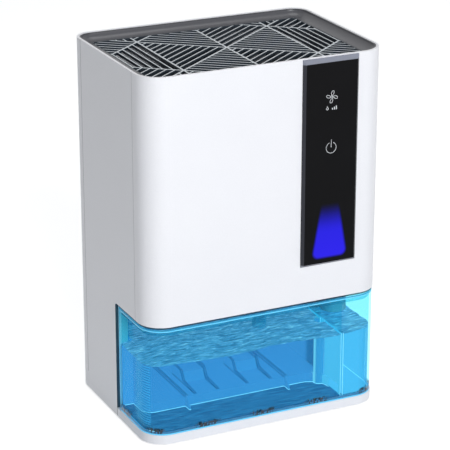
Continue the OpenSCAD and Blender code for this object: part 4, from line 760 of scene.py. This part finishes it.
# The cross recesses in the heads that show, each two crossed bars of painted shade.
head_apart = 12 * mm
cross_l, cross_w = 3.4 * mm, 0.8 * mm
cross_turn = 0.3
cross_lift = 0.03 * mm
for node, outward in (("rear_screws", Vector((0, 1, 0))), ("base_screws", Vector((0, 0, -1)))):
    heads = bmesh.new()
    heads.from_mesh(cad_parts[node].data)
    reach = max(v.co @ outward for v in heads.verts)
    rim = [v.co for v in heads.verts if v.co @ outward > reach - 0.1 * mm]
    centres = []
    for co in rim:
        if all((co - c).length > head_apart for c in centres):
            around = [other for other in rim if (co - other).length < head_apart]
            low = Vector([min(c[i] for c in around) for i in range(3)])
            high = Vector([max(c[i] for c in around) for i in range(3)])
            centres.append((low + high) / 2)
    heads.clear()
    flat = outward.to_track_quat("Z", "X").to_matrix().to_4x4()
    for centre in centres:
        on_head = Matrix.Translation(centre + outward * cross_lift) @ flat
        for turn in (0, math.pi / 2):
            made = bmesh.ops.create_grid(heads, x_segments=1, y_segments=1, size=0.5)["verts"]
            bmesh.ops.scale(heads, vec=(cross_l, cross_w, 1), verts=made)
            bmesh.ops.rotate(heads, verts=made, matrix=Matrix.Rotation(turn + cross_turn, 3, "Z"))
            bmesh.ops.transform(heads, matrix=on_head, verts=made)
    new_piece(node[:-1] + "_recesses", heads, "body", "steel", recess)
# Sintered bronze is dull brown gold, pitted with its pores.
bronze = grained("sintered bronze", "#7f5f37", "#b38a54", width=0.556 * mm, Metallic=1.0, Roughness=0.5)
dress(bronze, "fan_bearing")
# Extruded aluminium is a soft silver with fine bright lines along the way it was drawn.
line_width = 1.11 * mm
extruded, tree, shader, place = start_material("extruded aluminium", Metallic=1.0, Roughness=0.38)
drawn_out = add(tree, "Mapping", Vector=place, Scale=(1, 1, 0.03))
lines = add(tree, "TexNoise", Vector=drawn_out, Scale=1 / line_width, Detail=3)
tone = add(tree, "MixRGB", Fac=lines, Color1=linear("#b7babd"), Color2=linear("#dadcde"))
feed(shader, Base_Color=tone)
dress(extruded, "hot_sink", "cold_sink")

# ---------------------------------------------------------------- cooling module
# A thermoelectric plate of white alumina in a frame of closed black foam, on a moulded baffle
# over the drip tray. Alumina is chalky white, the foam dull black with round cells, and the
# unpainted ABS a warm grey white.
alumina = grained("white alumina", "#e2e1da", "#f3f2ee", width=1.11 * mm, Roughness=0.5)
dress(alumina, "thermoelectric_module")
gasket_foam, tree, shader, place = start_material("closed black foam", Roughness=0.85)
cells = add(tree, "TexVoronoi", Vector=place, Scale=1 / cell_width)
tone = add(tree, "MixRGB", Fac=cells, Color1=linear("#1a1a1c"), Color2=linear("#333335"))
feed(shader, Base_Color=tone)
dress(gasket_foam, "module_gasket")
inner_abs = grained("moulded natural ABS", "#d3d4cf", "#e5e6e1", width=grain_width, Roughness=0.5)
dress(inner_abs, "thermal_baffle", "drip_tray")

# ---------------------------------------------------------------- electrics
# Boards of green solder mask over glass fibre, a black nylon inlet, the night light's frosted
# lens and leads in PVC.
# Solder mask is a glossy green that lies lighter over the copper's straight traces.
trace_pitch = 8.33 * mm
solder_mask, tree, shader, place = start_material("green solder mask", Roughness=0.3, IOR=1.5)
traces = add(tree, "TexBrick", Vector=place, Scale=1 / trace_pitch).outputs["Fac"]
tone = add(tree, "MixRGB", Fac=traces, Color1=linear("#145736"), Color2=linear("#1d7347"))
feed(shader, Base_Color=tone)
dress(solder_mask, "control_board", "power_board", "tank_sensor")
# Moulded nylon is black and half dull.
nylon = grained("black nylon", "#161618", "#262628", width=grain_width, Roughness=0.4)
dress(nylon, "power_inlet")
# Frosted acrylic is milky violet blue, even where a diode stands behind it.
lens = grained("frosted acrylic", "#8582e6", "#a3a0f5", width=1.25 * mm, Roughness=0.6)
dress(lens, "light_lens")
# Extruded PVC is smooth and waxy, in two even colours.
black_pvc = grained("black PVC", "#161618", "#262629", width=1.667 * mm, Roughness=0.45)
dress(black_pvc, "fan_lead", "control_lead", "inlet_lead", "sensor_lead")
red_pvc = grained("red PVC", "#93201a", "#b32a22", width=1.667 * mm, Roughness=0.45)
dress(red_pvc, "module_leads")
